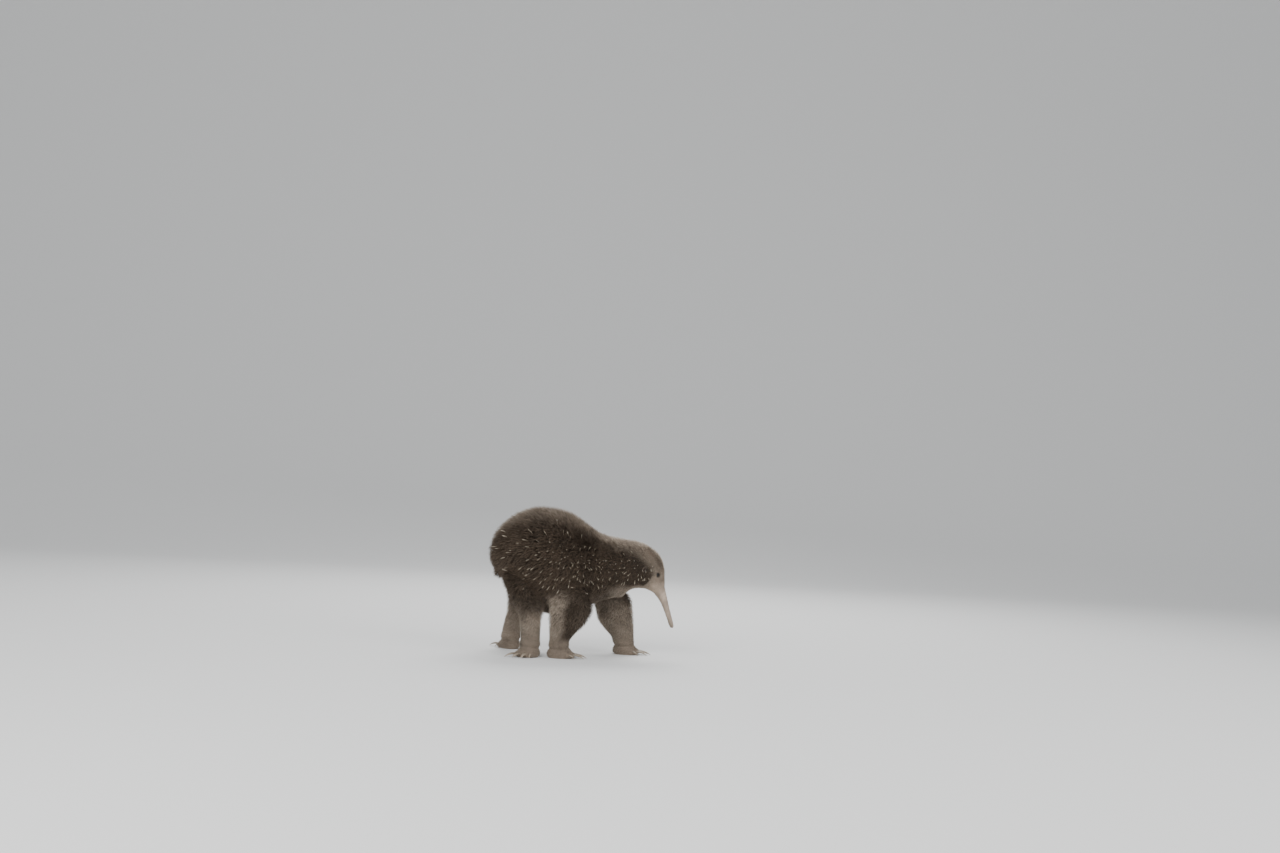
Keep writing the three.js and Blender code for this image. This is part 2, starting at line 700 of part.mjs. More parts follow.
// Tail: a short stub under the rump
const tailWay = new THREE.Vector3(-Math.cos(radians(TAIL.pitch)), 0, -Math.sin(radians(TAIL.pitch)));
const tailShape = ellipsoid(
  [TAIL.length / 2, TAIL.radius, TAIL.radius],
  [TAIL.x, 0, TAIL.z],
  turnTo(tailWay, new THREE.Vector3(0, 1, 0)),
);
const tailRoom = solidFrom(swollen(tailShape, GAP));
nodes.set("tail", { solid: largest(solidFrom(tailShape).subtract(bodyRoom)), material: COAT });

// Head: eyes in their sockets with lids round them, and cupped ears
function headSpot(station, degrees, side) {
  const angle = -side * radians(degrees);
  return {
    point: inCoat(bodyForm, station, angle, bodyForm.core(station, angle)),
    out: outward(bodyForm, station, angle),
    along: bodyAxes(station).along,
  };
}

let head = headCore;
const earRooms = [];
for (const [sideName, side] of [["right", RIGHT], ["left", LEFT]]) {
  const eye = headSpot(EYE.station, EYE.angle, side);
  const middle = eye.point.clone().addScaledVector(eye.out, -EYE.sunk);
  const ball = (radius) => solidFrom(ellipsoid([radius, radius, radius], middle, undefined, 10, 6));
  const lids = new THREE.TorusGeometry(LIDS.opening, LIDS.radius, 5, 10)
    .rotateY(Math.PI / 2)
    .scale(1, LIDS.slant, 1)
    .applyQuaternion(turnTo(eye.out, eye.along))
    .translate(...middle.clone().addScaledVector(eye.out, LIDS.out));
  head = largest(head.add(solidFrom(lids)).subtract(ball(EYE.radius + GAP)));
  nodes.set(`eye_${sideName}`, { solid: ball(EYE.radius), material: EYE_BLACK });

  const ear = headSpot(EAR.station, EAR.angle, side);
  const facing = ear.out.clone().addScaledVector(ear.along, EAR_FORWARD).normalize();
  const turn = turnTo(facing, new THREE.Vector3(0, 0, 1));
  const cup = (wall, shift, grow = 0) =>
    ellipsoid(
      [EAR.deep - wall + grow, EAR.long - wall + grow, EAR.high - wall + grow],
      ear.point.clone().addScaledVector(facing, shift),
      turn,
      9,
      6,
    );
  const hollow = solidFrom(cup(EAR_HOLLOW.wall, EAR_HOLLOW.shift));
  const pinna = solidFrom(cup(0, 0)).subtract(hollow).subtract(bodyRoom);
  nodes.set(`ear_${sideName}`, { solid: largest(pinna), material: SKIN });
  earRooms.push(solidFrom(cup(0, 0, GAP)));
}

// Beak: nostrils on top near the tip, and the mouth as a short slit
const nostrils = [RIGHT, LEFT].map((side) => {
  const spot = headSpot(NOSTRIL.station, NOSTRIL.angle, side);
  const pit = [NOSTRIL.length, NOSTRIL.radius, NOSTRIL.radius];
  return solidFrom(ellipsoid(pit, spot.point, turnTo(spot.along, spot.out), 6, 4));
});
const beakTip = bodyAxes(bodyForm.last);
const mouth = box(
  [2 * MOUTH.length, MOUTH.width, MOUTH.gape],
  beakTip.middle.clone().addScaledVector(beakTip.up, -MOUTH.low),
  turnTo(beakTip.along, beakTip.up),
);
const beak = beakCore.subtract(joined(nostrils)).subtract(solidFrom(mouth));
nodes.set("beak", { solid: largest(beak), material: SKIN });

// Head, neck and torso, each with its rows of locks and its spines clear of those in front of it
let taken = joined([limbRoom, tailRoom, ...earRooms]);
const coats = [
  { name: "head", core: head, rows: HEAD_ROWS, material: PALE_FUR, rear: HEAD_FROM },
  { name: "neck", core: neckCore, rows: NECK_ROWS, material: COAT, rear: NECK_FROM },
  { name: "torso", core: torsoCore, rows: TORSO_ROWS, material: COAT, rear: 0 },
];
for (const { name, core, rows, material, rear } of coats) {
  const locks = rowsOn(bodyForm, rows.from, rows.to, LOCKS_TO, BODY_LOCKS, draw);
  const spines = scatteredOn(bodyForm, rows.spinesFrom, rows.spinesTo, SPINES_TO, rows.spines, draw);
  const make = (grow) => [
    ...locks.map((place) => solidFrom(lockOn(bodyForm, place, BODY_LOCKS, grow))),
    ...spines.map((place) => solidFrom(spineOn(bodyForm, place, grow))),
  ];
  const keepOut = taken.add(bodyRoom.intersect(behind(rear)));
  nodes.set(name, { solid: coated(core, make(0), keepOut), material });
  taken = joined([taken, ...make(GAP)]);
}

// The animal, centred over its box, with its soles at z = 0
const boxes = [...nodes.values()].map(({ solid }) => solid.boundingBox());
const low = [0, 1, 2].map((i) => Math.min(...boxes.map(({ min }) => min[i])));
const high = [0, 1, 2].map((i) => Math.max(...boxes.map(({ max }) => max[i])));
const centring = [-(low[0] + high[0]) / 2, -(low[1] + high[1]) / 2, -low[2]];
const animal = new THREE.Group();
for (const [name, { solid, material }] of nodes) {
  const mesh = new THREE.Mesh(geometryFrom(cleaned(solid.translate(centring))), material);
  mesh.name = name;
  animal.add(mesh);
}

export default animal;
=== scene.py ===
# A long-beaked echidna, life size, walking with its beak down: skin, coat, spines, eyes, ears and claws.
# Metres, +Z up, the head towards +X, the animal's right side towards -Y.
import math

import bmesh
import bpy
import numpy as np
from mathutils import Matrix, Vector


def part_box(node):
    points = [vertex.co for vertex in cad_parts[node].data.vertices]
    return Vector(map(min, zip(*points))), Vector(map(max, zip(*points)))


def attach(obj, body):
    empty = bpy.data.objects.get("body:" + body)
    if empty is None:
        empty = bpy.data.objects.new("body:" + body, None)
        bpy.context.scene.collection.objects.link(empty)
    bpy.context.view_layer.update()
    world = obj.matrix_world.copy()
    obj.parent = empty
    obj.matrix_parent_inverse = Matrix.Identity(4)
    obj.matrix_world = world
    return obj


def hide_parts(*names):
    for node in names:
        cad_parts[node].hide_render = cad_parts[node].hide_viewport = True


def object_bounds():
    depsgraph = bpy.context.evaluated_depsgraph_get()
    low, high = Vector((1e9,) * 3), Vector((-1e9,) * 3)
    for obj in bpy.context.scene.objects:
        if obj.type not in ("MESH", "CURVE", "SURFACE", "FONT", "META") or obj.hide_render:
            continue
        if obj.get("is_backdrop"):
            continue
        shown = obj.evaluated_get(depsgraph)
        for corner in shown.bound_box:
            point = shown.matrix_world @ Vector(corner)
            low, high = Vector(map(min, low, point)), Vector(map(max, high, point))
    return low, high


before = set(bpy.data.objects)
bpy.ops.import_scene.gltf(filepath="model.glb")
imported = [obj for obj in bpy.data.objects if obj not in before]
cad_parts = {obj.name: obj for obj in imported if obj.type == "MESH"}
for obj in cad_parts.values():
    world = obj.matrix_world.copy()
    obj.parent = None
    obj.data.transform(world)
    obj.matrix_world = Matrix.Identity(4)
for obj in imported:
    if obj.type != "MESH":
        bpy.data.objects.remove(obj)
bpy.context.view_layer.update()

MM = 0.001

# Body line
# The echidna's trunk, neck, head and beak are one long form: sections across a line from the rump to the
# beak's tip, each with its middle, the way the line points down there, its half height and half width out
# to the hair tips, and the depth of the coat. The skin lies inside these by that depth.
#            x      z     pitch  high   wide   coat
BODY_LINE = np.array([
    (-169.0, 181.0, 0.0, 0.0, 0.0, 20.0),  # rump end
    (-163.0, 182.0, 0.0, 26.0, 27.0, 21.0),
    (-148.0, 183.0, 0.0, 48.0, 48.0, 21.0),  # croup
    (-120.0, 180.0, 0.0, 72.0, 68.0, 20.0),
    (-88.0, 172.0, 0.0, 91.0, 82.0, 19.0),  # loin
    (-55.0, 166.5, 0.0, 97.5, 87.0, 19.0),
    (-22.0, 164.0, 0.0, 92.0, 84.0, 18.0),  # ribs
    (8.0, 161.0, 0.0, 77.0, 73.0, 16.0),
    (34.0, 158.5, 0.0, 63.5, 58.0, 14.0),  # neck base
    (64.0, 159.5, 4.0, 56.0, 49.0, 12.0),
    (91.0, 157.5, 18.0, 53.5, 44.0, 9.0),  # back of head
    (111.0, 152.3, 38.0, 45.5, 37.0, 6.0),
    (124.0, 141.5, 56.0, 31.0, 25.0, 2.5),  # brow
    (138.5, 125.5, 67.0, 14.0, 12.5, 0.8),
    (149.5, 106.0, 71.0, 7.4, 7.4, 0.0),  # beak
    (159.5, 80.0, 72.0, 5.0, 5.2, 0.0),
    (166.5, 60.0, 71.0, 4.0, 4.7, 0.0),
    (168.6, 54.5, 70.0, 0.0, 0.0, 0.0),  # beak tip
])
BODY_LAST = len(BODY_LINE) - 1
BELLY_COAT = 0.5
STEP = 0.02


def curve_through(rows):
    """A smooth curve through rows of numbers, read at any place along them."""
    before = np.vstack([2 * rows[0] - rows[1], rows[:-1]])
    after = np.vstack([rows[1:], 2 * rows[-1] - rows[-2]])
    slopes = (after - before) / 2

    def at(place):
        place = np.clip(place, 0, len(rows) - 1)
        low = np.minimum(place.astype(int), len(rows) - 2)
        t = (place - low)[:, None]
        a, b = rows[low], rows[low + 1]
        m, n = slopes[low], slopes[low + 1]
        return a + m * t + (3 * (b - a) - 2 * m - n) * t**2 + (2 * (a - b) + m + n) * t**3

    return at


body_at = curve_through(BODY_LINE)


def body_axes(station):
    """A section's middle, its ways along and up, and its half height, half width and coat."""
    values = body_at(station)
    pitch = np.radians(values[:, 2])
    zero = np.zeros_like(pitch)
    middle = np.stack([values[:, 0], zero, values[:, 1]], 1)
    along = np.stack([np.cos(pitch), zero, -np.sin(pitch)], 1)
    up = np.stack([np.sin(pitch), zero, np.cos(pitch)], 1)
    return middle, along, up, np.maximum(values[:, 3:6], 0)


def body_surface(station, angle):
    """The hair tips: angle 0 is the ridge of the back, a quarter turn the right side."""
    middle, _, up, size = body_axes(station)
    point = middle + up * (size[:, 0] * np.cos(angle))[:, None]
    point[:, 1] -= size[:, 1] * np.sin(angle)
    return point


def body_coat(station, angle):
    """The coat's depth, less below than on the back."""
    above = np.sqrt((1 + np.cos(angle)) / 2)
    return body_axes(station)[3][:, 2] * (BELLY_COAT + (1 - BELLY_COAT) * above)


def surface_frame(surface, last, turn, station, angle):
    """Directions along, round and out of a surface."""
    at = np.clip(station, STEP, last - STEP)
    along = (surface(at + STEP, angle) - surface(at - STEP, angle)) / (2 * STEP)
    round_it = (surface(at, angle + STEP) - surface(at, angle - STEP)) / (2 * STEP)
    out = turn * np.cross(along, round_it)
    out /= np.linalg.norm(out, axis=1)[:, None]
    return along, round_it, out


def body_skin(station, angle):
    """The skin under the coat."""
    station = np.clip(station, STEP, BODY_LAST - STEP)
    out = surface_frame(body_surface, BODY_LAST, -1, station, angle)[2]
    return body_surface(station, angle) - out * body_coat(station, angle)[:, None]


# Shared steps
# Each piece is closed, faces outwards and belongs to the still body. Most materials take a colour painted
# on the mesh and let a noise make it a little darker and lighter.
def ramp(value, low, high):
    """A smooth change from 0 at low to 1 at high."""
    t = np.clip((value - low) / (high - low), 0, 1)
    return t * t * (3 - 2 * t)


def bell(value, middle, width):
    """1 at the middle, falling smoothly to nothing on both sides."""
    return np.exp(-((value - middle) / width) ** 2)


to_scene = bpy.context.scene.collection.objects.link


def shade_smooth(bm):
    for face in bm.faces:
        face.smooth = True


def placed(name, mesh, material, slot, *nodes):
    """A mesh made into a piece of the model, taking the place of the nodes named."""
    mesh.materials.append(material)
    piece = bpy.data.objects.new(name, mesh)
    to_scene(piece)
    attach(piece, "root")
    if nodes:
        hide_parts(*nodes)
    return piece


def finished(name, bm, material, slot, *nodes):
    """A bmesh turned to face outwards, shaded smoothly and made into a piece."""
    shade_smooth(bm)
    if bm.calc_volume(signed=True) < 0:
        bmesh.ops.reverse_faces(bm, faces=bm.faces)
    mesh = bpy.data.meshes.new(name)
    bm.to_mesh(mesh)
    bm.free()
    return placed(name, mesh, material, slot, *nodes)


def material_of(name, roughness, specular):
    """A new material and its shader."""
    material = bpy.data.materials.new(name)
    material.use_nodes = True
    shader = material.node_tree.nodes["Principled BSDF"]
    shader.inputs["Roughness"].default_value = roughness
    shader.inputs["Specular IOR Level"].default_value = specular
    return material, shader


def texture_on(material, kind, scale):
    """A texture fixed to the model itself."""
    nodes, links = material.node_tree.nodes, material.node_tree.links
    place = nodes.new("ShaderNodeTexCoord")
    texture = nodes.new(kind)
    texture.inputs["Scale"].default_value = scale
    links.new(place.outputs["Object"], texture.inputs["Vector"])
    return texture


def painted(material, shader, attribute, noise, noise_range, tone_range):
    """The colour painted on a mesh, its tone varied by a noise, as a material's colour."""
    nodes, links = material.node_tree.nodes, material.node_tree.links
    tint = nodes.new("ShaderNodeAttribute")
    tint.attribute_name = attribute
    spread = nodes.new("ShaderNodeMapRange")
    for end, value in zip(("From Min", "From Max", "To Min", "To Max"), (*noise_range, *tone_range)):
        spread.inputs[end].default_value = value
    shaded = nodes.new("ShaderNodeVectorMath")
    shaded.operation = "SCALE"
    links.new(noise.outputs["Fac"], spread.inputs["Value"])
    links.new(tint.outputs["Color"], shaded.inputs[0])
    links.new(spread.outputs["Result"], shaded.inputs["Scale"])
    links.new(shaded.outputs["Vector"], shader.inputs["Base Color"])


def bumped(material, shader, height, distance, strength):
    """Fine relief on a material, from a height."""
    nodes, links = material.node_tree.nodes, material.node_tree.links
    bump = nodes.new("ShaderNodeBump")
    bump.inputs["Distance"].default_value = distance
    bump.inputs["Strength"].default_value = strength
    links.new(height, bump.inputs["Height"])
    links.new(bump.outputs["Normal"], shader.inputs["Normal"])


# Eyes
# Small, dark and set well forward on the sides of the head, each a glossy ball sunk in its socket. Their
# place on the head also tells how far the whole model was shifted to stand centred over its box.
EYE_STATION = 11.95
EYE_ANGLE = math.radians(62)
EYE_RADIUS = 3.9
EYE_SUNK = 2.2
EYE_NET = (32, 24)
eye_places = (np.array([EYE_STATION] * 2), np.array([EYE_ANGLE, -EYE_ANGLE]))
eye_out = surface_frame(body_surface, BODY_LAST, -1, *eye_places)[2]
eye_middles = body_surface(*eye_places) - EYE_SUNK * eye_out
eye_low, eye_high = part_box("eye_right")
SHIFT = (np.array(eye_low) + np.array(eye_high)) / 2 - eye_middles[0] * MM

eye_black, shader = material_of("eye_black", 0.07, 0.35)
shader.inputs["Base Color"].default_value = (0.004, 0.003, 0.002, 1)

for side, middle in zip(("right", "left"), eye_middles):
    bm = bmesh.new()
    place = Matrix.Translation(Vector(middle * MM + SHIFT))
    across, down = EYE_NET
    bmesh.ops.create_uvsphere(bm, u_segments=across, v_segments=down, radius=EYE_RADIUS * MM, matrix=place)
    finished(f"eyeball_{side}", bm, eye_black, "eye", f"eye_{side}")

# Legs
# Each is a column of level sections down into the foot: middle, half length fore and aft, half width, and
# coat depth. The near foreleg and the far hind leg push back, the other two are planted under the body.
#                     x     out    z     long  wide  coat
LEG_COLUMNS = {
    "foreleg_right": [
        (2, 40, 150, 0, 0, 8),
        (-2, 42, 144, 22, 16, 12),
        (-8, 47, 128, 36, 26, 13),
        (-14, 51, 104, 42, 29, 12),
        (-15, 53, 82, 41, 28, 11),
        (-20, 54, 62, 35, 25, 9),
        (-27, 55, 46, 25, 20, 5),
        (-32, 55, 32, 18, 17, 2),
        (-33, 55, 18, 17, 17, 1.5),
        (-33, 55, 8, 0, 0, 1.5),
    ],
    "foreleg_left": [
        (14, 38, 150, 0, 0, 8),
        (20, 41, 144, 22, 16, 11),
        (38, 46, 128, 37, 25, 11),
        (57, 50, 104, 39, 27, 10),
        (63, 52, 82, 37, 26, 9),
        (67, 53, 62, 35, 23, 7),
        (74, 53, 46, 28, 20, 4),
        (81, 53, 32, 21, 17, 2),
        (84, 53, 18, 18, 17, 1.5),
        (84, 53, 8, 0, 0, 1.5),
    ],
    "hindleg_right": [
        (-112, 34, 166, 0, 0, 8),
        (-111, 38, 160, 22, 17, 14),
        (-108, 45, 140, 38, 28, 15),
        (-98, 51, 112, 33, 30, 14),
        (-88, 54, 90, 30, 27, 12),
        (-85, 56, 70, 22, 22, 8),
        (-84, 57, 50, 18.5, 19, 4),
        (-83, 57, 32, 17, 17, 2),
        (-83, 57, 18, 17, 17, 1.5),
        (-83, 57, 8, 0, 0, 1.5),
    ],
    "hindleg_left": [
        (-112, 34, 166, 0, 0, 8),
        (-111, 38, 160, 22, 17, 14),
        (-109, 45, 140, 38, 28, 15),
        (-105, 51, 112, 35, 30, 14),
        (-106, 54, 90, 29, 27, 12),
        (-112, 56, 70, 22, 22, 8),
        (-118, 57, 50, 18.5, 19, 4),
        (-122, 57, 32, 17, 17, 2),
        (-123, 57, 18, 17, 17, 1.5),
        (-123, 57, 8, 0, 0, 1.5),
    ],
}
LEG_LAST = 9
LEG_SIDE = {"foreleg_right": -1, "foreleg_left": 1, "hindleg_right": -1, "hindleg_left": 1}
leg_at = {name: curve_through(np.array(rows, float)) for name, rows in LEG_COLUMNS.items()}


def leg_surface(name):
    """A leg out to its hair tips."""

    def surface(station, angle):
        values = leg_at[name](station)
        point = np.stack([values[:, 0], LEG_SIDE[name] * values[:, 1], values[:, 2]], 1)
        point[:, 0] += np.maximum(values[:, 3], 0) * np.cos(angle)
        point[:, 1] += np.maximum(values[:, 4], 0) * np.sin(angle)
        return point

    return surface


def leg_skin(name):
    """A leg under its coat."""
    surface = leg_surface(name)

    def skin(station, angle):
        station = np.clip(station, STEP, LEG_LAST - STEP)
        out = surface_frame(surface, LEG_LAST, 1, station, angle)[2]
        return surface(station, angle) - out * leg_at[name](station)[:, 5:6]

    return skin


# Feet
# Short and broad, flat under the sole, with five blunt toes. The forefeet point forward to dig; the hind
# feet are turned out and back, and the second hind toe is the long one used for grooming.
#                 x     out   heading
FOOT_PLACES = {
    "foreleg_right": (-31, 55, 6), "foreleg_left": (86, 53, 4),
    "hindleg_right": (-84, 60, -128), "hindleg_left": (-124, 59, -122),
}
#            turn  reach claw
FORE_TOES = ((52, 15, 11), (25, 18, 18), (0, 19, 21), (-25, 18, 18), (-52, 15, 11))
HIND_TOES = ((-56, 14, 6), (-27, 17, 24), (0, 18, 18), (26, 17, 14), (52, 14, 10))
FORE_PAD = (21, 18.5, 15)
HIND_PAD = (20, 17.5, 15)
PAD_TOP = 22
TOE_SIZE = (8.5, 6, 6)
TOE_Z = 5


def heading(name, degrees):
    """A way across the floor, turned inwards from a foot's own heading."""
    turn = math.radians(FOOT_PLACES[name][2] + degrees) * -LEG_SIDE[name]
    return Vector((math.cos(turn), math.sin(turn), 0))


def toes_of(name):
    return FORE_TOES if name.startswith("fore") else HIND_TOES


def ellipsoid_on(bm, half_sizes, middle, way, segments=24, rings=16):
    """A closed ellipsoid, its first axis along way, added to a bmesh in millimetres."""
    across = Vector((0, 0, 1)).cross(way).normalized()
    turn = Matrix((way, across, way.cross(across))).transposed().to_4x4()
    place = Matrix.Translation(middle) @ turn @ Matrix.Diagonal((*half_sizes, 1))
    bmesh.ops.create_uvsphere(bm, u_segments=segments, v_segments=rings, radius=1, matrix=place)


# Skin
# One hide over trunk, head, beak, tail, legs and feet, bare on the beak and almost hidden elsewhere. It is
# wrapped from the sections less the coat's depth, and drawn together into one surface with no seams.
BODY_NET = (64, 120)
LEG_NET = (40, 50)
VOXEL = 1.9
SMOOTHINGS = 5
SMOOTHING = 0.5
TAIL_PLACE = (-139, 0, 150)
TAIL_SIZE = (14, 8, 8)
TAIL_WAY = Vector((-0.57, 0, -0.82)).normalized()
FLAT_BELOW = 0.4
FACE_X, FACE_Z = 118, 45
LIP_STATION = 16.6
LIP_FINE = 17
EYE_FINE = 12.5


def wrapped(bm, surface, last, net):
    """Wraps a ball round a form: its poles are the form's ends."""
    made = bmesh.ops.create_uvsphere(bm, u_segments=net[0], v_segments=net[1], radius=1)["verts"]
    ball = np.array([v.co for v in made])
    station = last * np.arccos(np.clip(ball[:, 2], -1, 1)) / math.pi
    angle = np.arctan2(ball[:, 1], ball[:, 0])
    for v, place in zip(made, surface(station, angle)):
        v.co = place


bm = bmesh.new()
wrapped(bm, body_skin, BODY_LAST, BODY_NET)
for name in LEG_COLUMNS:
    wrapped(bm, leg_skin(name), LEG_LAST, LEG_NET)
    x, out, _ = FOOT_PLACES[name]
    foot = Vector((x, LEG_SIDE[name] * out, 0))
    pad = FORE_PAD if name.startswith("fore") else HIND_PAD
    ellipsoid_on(bm, pad, foot + Vector((0, 0, PAD_TOP - pad[2])), heading(name, 0))
    for turn, reach, _ in toes_of(name):
        middle = foot + heading(name, turn) * reach
        middle.z = TOE_Z
        ellipsoid_on(bm, TOE_SIZE, middle, heading(name, turn))
ellipsoid_on(bm, TAIL_SIZE, Vector(TAIL_PLACE), TAIL_WAY)
bmesh.ops.recalc_face_normals(bm, faces=bm.faces)
rough = bpy.data.meshes.new("rough")
bm.to_mesh(rough)
bm.free()
draft = bpy.data.objects.new("draft", rough)
to_scene(draft)
remesh = draft.modifiers.new("remesh", "REMESH")
remesh.mode = "VOXEL"
remesh.voxel_size = VOXEL
smooth = draft.modifiers.new("smooth", "SMOOTH")
smooth.iterations = SMOOTHINGS
smooth.factor = SMOOTHING
drawn = bpy.data.meshes.new_from_object(draft.evaluated_get(bpy.context.evaluated_depsgraph_get()))
bpy.data.objects.remove(draft)
bm = bmesh.new()
bm.from_mesh(drawn)

# the outer surface only, without the walls of hollows shut in between limbs and trunk
islands = []
unmet = set(bm.verts)
while unmet:
    island = [unmet.pop()]
    for v in island:
        for edge in v.link_edges:
            other = edge.other_vert(v)
            if other in unmet:
                unmet.remove(other)
                island.append(other)
    islands.append(island)
islands.sort(key=len)
for island in islands[:-1]:
    bmesh.ops.delete(bm, geom=island, context="VERTS")

# flat soles at floor level
for v in bm.verts:
    if v.co.z < FLAT_BELOW:
        v.co.z = 0


def made_finer(bm, wanted):
    """Cuts the edges of the faces wanted in two."""
    chosen = [f for f in bm.faces if wanted(f.calc_center_median())]
    edges = list({e for f in chosen for e in f.edges})
    bmesh.ops.subdivide_edges(bm, edges=edges, cuts=1, use_grid_fill=True)


# a finer net on the face and beak for their folds, finer still at the eyes and the lips
made_finer(bm, lambda middle: middle.x > FACE_X and middle.z > FACE_Z)
lips_middle = Vector(body_surface(np.array([LIP_STATION]), np.array([0.0]))[0])
for spot, reach in [(Vector(middle), EYE_FINE) for middle in eye_middles] + [(lips_middle, LIP_FINE)]:
    made_finer(bm, lambda middle: (middle - spot).length < reach)
bmesh.ops.triangulate(bm, faces=[f for f in bm.faces if len(f.verts) > 4])
skin_points = np.array([v.co for v in bm.verts])

# Places on the skin
# Where each point of the skin lies on the body line or down a leg, and from that the depth and lie of its
# coat and how pale it is. Tops are degrees down from the ridge of the back, heights are above the floor.
BODY_TRIED, LEG_TRIED = 341, 181  # stations tried for each point
AT_ONCE = 6000
EDGE = 1  # keeps the shares of a section finite at its ends
AHEAD_UNIT = 10
SHARE_WEIGHT = 4
LEAST_SHARE = 0.4
ANKLE_HEIGHT = 40
LEAST_ANKLE = 17.0
PALE = 0.95
BAND_STATIONS = (6.5, 8, 9, 10.5, 11.5, 12.1)
BAND_TOPS = (14, 30, 44, 58, 74, 200)
BAND_INSIDE, BAND_OUTSIDE = 22, 16
NAPE_STATIONS = (6.0, 10.0)
THROAT_TOPS, THROAT_STATIONS = (118, 142), (8.0, 9.2)
# painted sheen: how much paler the tips are on the breast, and on the back and rump, than on the flanks
BREAST_SHEEN, BREAST_TOPS, BREAST_STATIONS = 0.3, (120, 160), (3.5, 5.5)
TIPS_SHEEN, BACK_TOPS, RUMP_STATIONS = 0.26, (20, 54), (0.5, 2.0)
STRIP_PALE, STRIP_X, STRIP_SLANT, STRIP_HEIGHT = (0.1, 0.78), (-33, -18), 0.12, 60
# at the top, how much more below, and the heights between
FAR_FORELEG_PALE, HIND_LEG_PALE = (0.55, 0.3, (40, 130)), (0.1, 0.75, (56, 102))
FOOT_PALE, FOOT_HEIGHTS = 0.88, (26, 46)
BODY_LIE, LEG_LIE = np.array([-1.0, 0.0, -0.75]), np.array([-0.35, 0.0, -1.0])
RIDGE_TOPS = (0, 50)
LEG_HEIGHTS = (96, 132)  # a leg gives way to the trunk between these
LEG_EDGES = (1.25, 1.6)  # and between these shares of its section
LEG_NEARER = (-0.1, 0.35)  # and between these leads of the body's share over its own
SURE_HEIGHT, SURE_EDGE = 60, 2.6  # below this height and inside this share it can only be the leg
SOLE_HEIGHTS = (1, 6)
BARE_STATIONS = (12.7, 13.4)
UV_EDGE, BODY_U, BODY_V = 0.02, 0.56, 0.96
LEG_U_FROM, LEG_U, LEG_V_STEP, LEG_V = 0.62, 0.36, 0.24, 0.22


def body_place(points):
    """Station, angle and distance from the body line, as a share of the section's size."""
    stations = np.linspace(0, BODY_LAST, BODY_TRIED)
    middle, along, up, size = body_axes(stations)
    found = np.empty((len(points), 3))
    for start in range(0, len(points), AT_ONCE):
        part = slice(start, start + AT_ONCE)
        away = points[part][:, None, :] - middle[None]
        ahead = np.einsum("ijk,jk->ij", away, along)
        rise = np.einsum("ijk,jk->ij", away, up)
        share = np.hypot(rise / (size[:, 0] + EDGE), away[:, :, 1] / (size[:, 1] + EDGE))
        cost = (ahead / AHEAD_UNIT) ** 2 + SHARE_WEIGHT * np.maximum(share, LEAST_SHARE) ** 2
        best = np.argmin(cost, 1)
        rows = np.arange(len(away))
        found[part, 0] = stations[best]
        found[part, 1] = np.arctan2(
            -away[rows, best, 1] / (size[best, 1] + EDGE), rise[rows, best] / (size[best, 0] + EDGE)
        )
        found[part, 2] = share[rows, best]
    return found


def leg_place(name, points):
    """Station down a leg, angle round it, and the distance from its middle as a share of the section."""
    stations = np.linspace(0, LEG_LAST, LEG_TRIED)
    values = leg_at[name](stations)
    station = np.interp(-points[:, 2], -values[:, 2], stations)
    here = leg_at[name](station)
    least = LEAST_ANKLE * (points[:, 2] < ANKLE_HEIGHT)
    ahead = (points[:, 0] - here[:, 0]) / (np.maximum(here[:, 3], least) + EDGE)
    aside = (points[:, 1] - LEG_SIDE[name] * here[:, 1]) / (np.maximum(here[:, 4], least) + EDGE)
    return station, np.arctan2(aside, ahead), np.hypot(ahead, aside)


def body_paleness_and_sheen(station, top):
    """Pale crown, face and throat; tips a little paler on back, rump and breast than on the flanks, as
    painted sheen.
    """
    band = np.interp(station, BAND_STATIONS, BAND_TOPS)
    crown = 1 - ramp(top, band - BAND_INSIDE, band + BAND_OUTSIDE)
    pale = PALE * crown * ramp(station, *NAPE_STATIONS)
    throat = ramp(top, *THROAT_TOPS) * ramp(station, *THROAT_STATIONS)
    pale = np.maximum(pale, PALE * throat)
    # painted sheen: paler tips on the breast, the back and the rump
    breast_sheen = BREAST_SHEEN * ramp(top, *BREAST_TOPS) * ramp(station, *BREAST_STATIONS)
    pale = np.maximum(pale, breast_sheen)
    pale = np.maximum(pale, TIPS_SHEEN * (1 - ramp(top, *BACK_TOPS)))
    return np.maximum(pale, TIPS_SHEEN * (1 - ramp(station, *RUMP_STATIONS)))


def leg_paleness(name, x, height):
    """Pale feet and lower legs. The near foreleg is dark but for a pale strip down its rear edge."""
    if name == "foreleg_right":
        dark, more = STRIP_PALE
        pale = dark + more * (1 - ramp(x - STRIP_SLANT * (height - STRIP_HEIGHT), *STRIP_X))
    else:
        dark, more, heights = FAR_FORELEG_PALE if name == "foreleg_left" else HIND_LEG_PALE
        pale = dark + more * (1 - ramp(height, *heights))
    return np.maximum(pale, FOOT_PALE * (1 - ramp(height, *FOOT_HEIGHTS)))


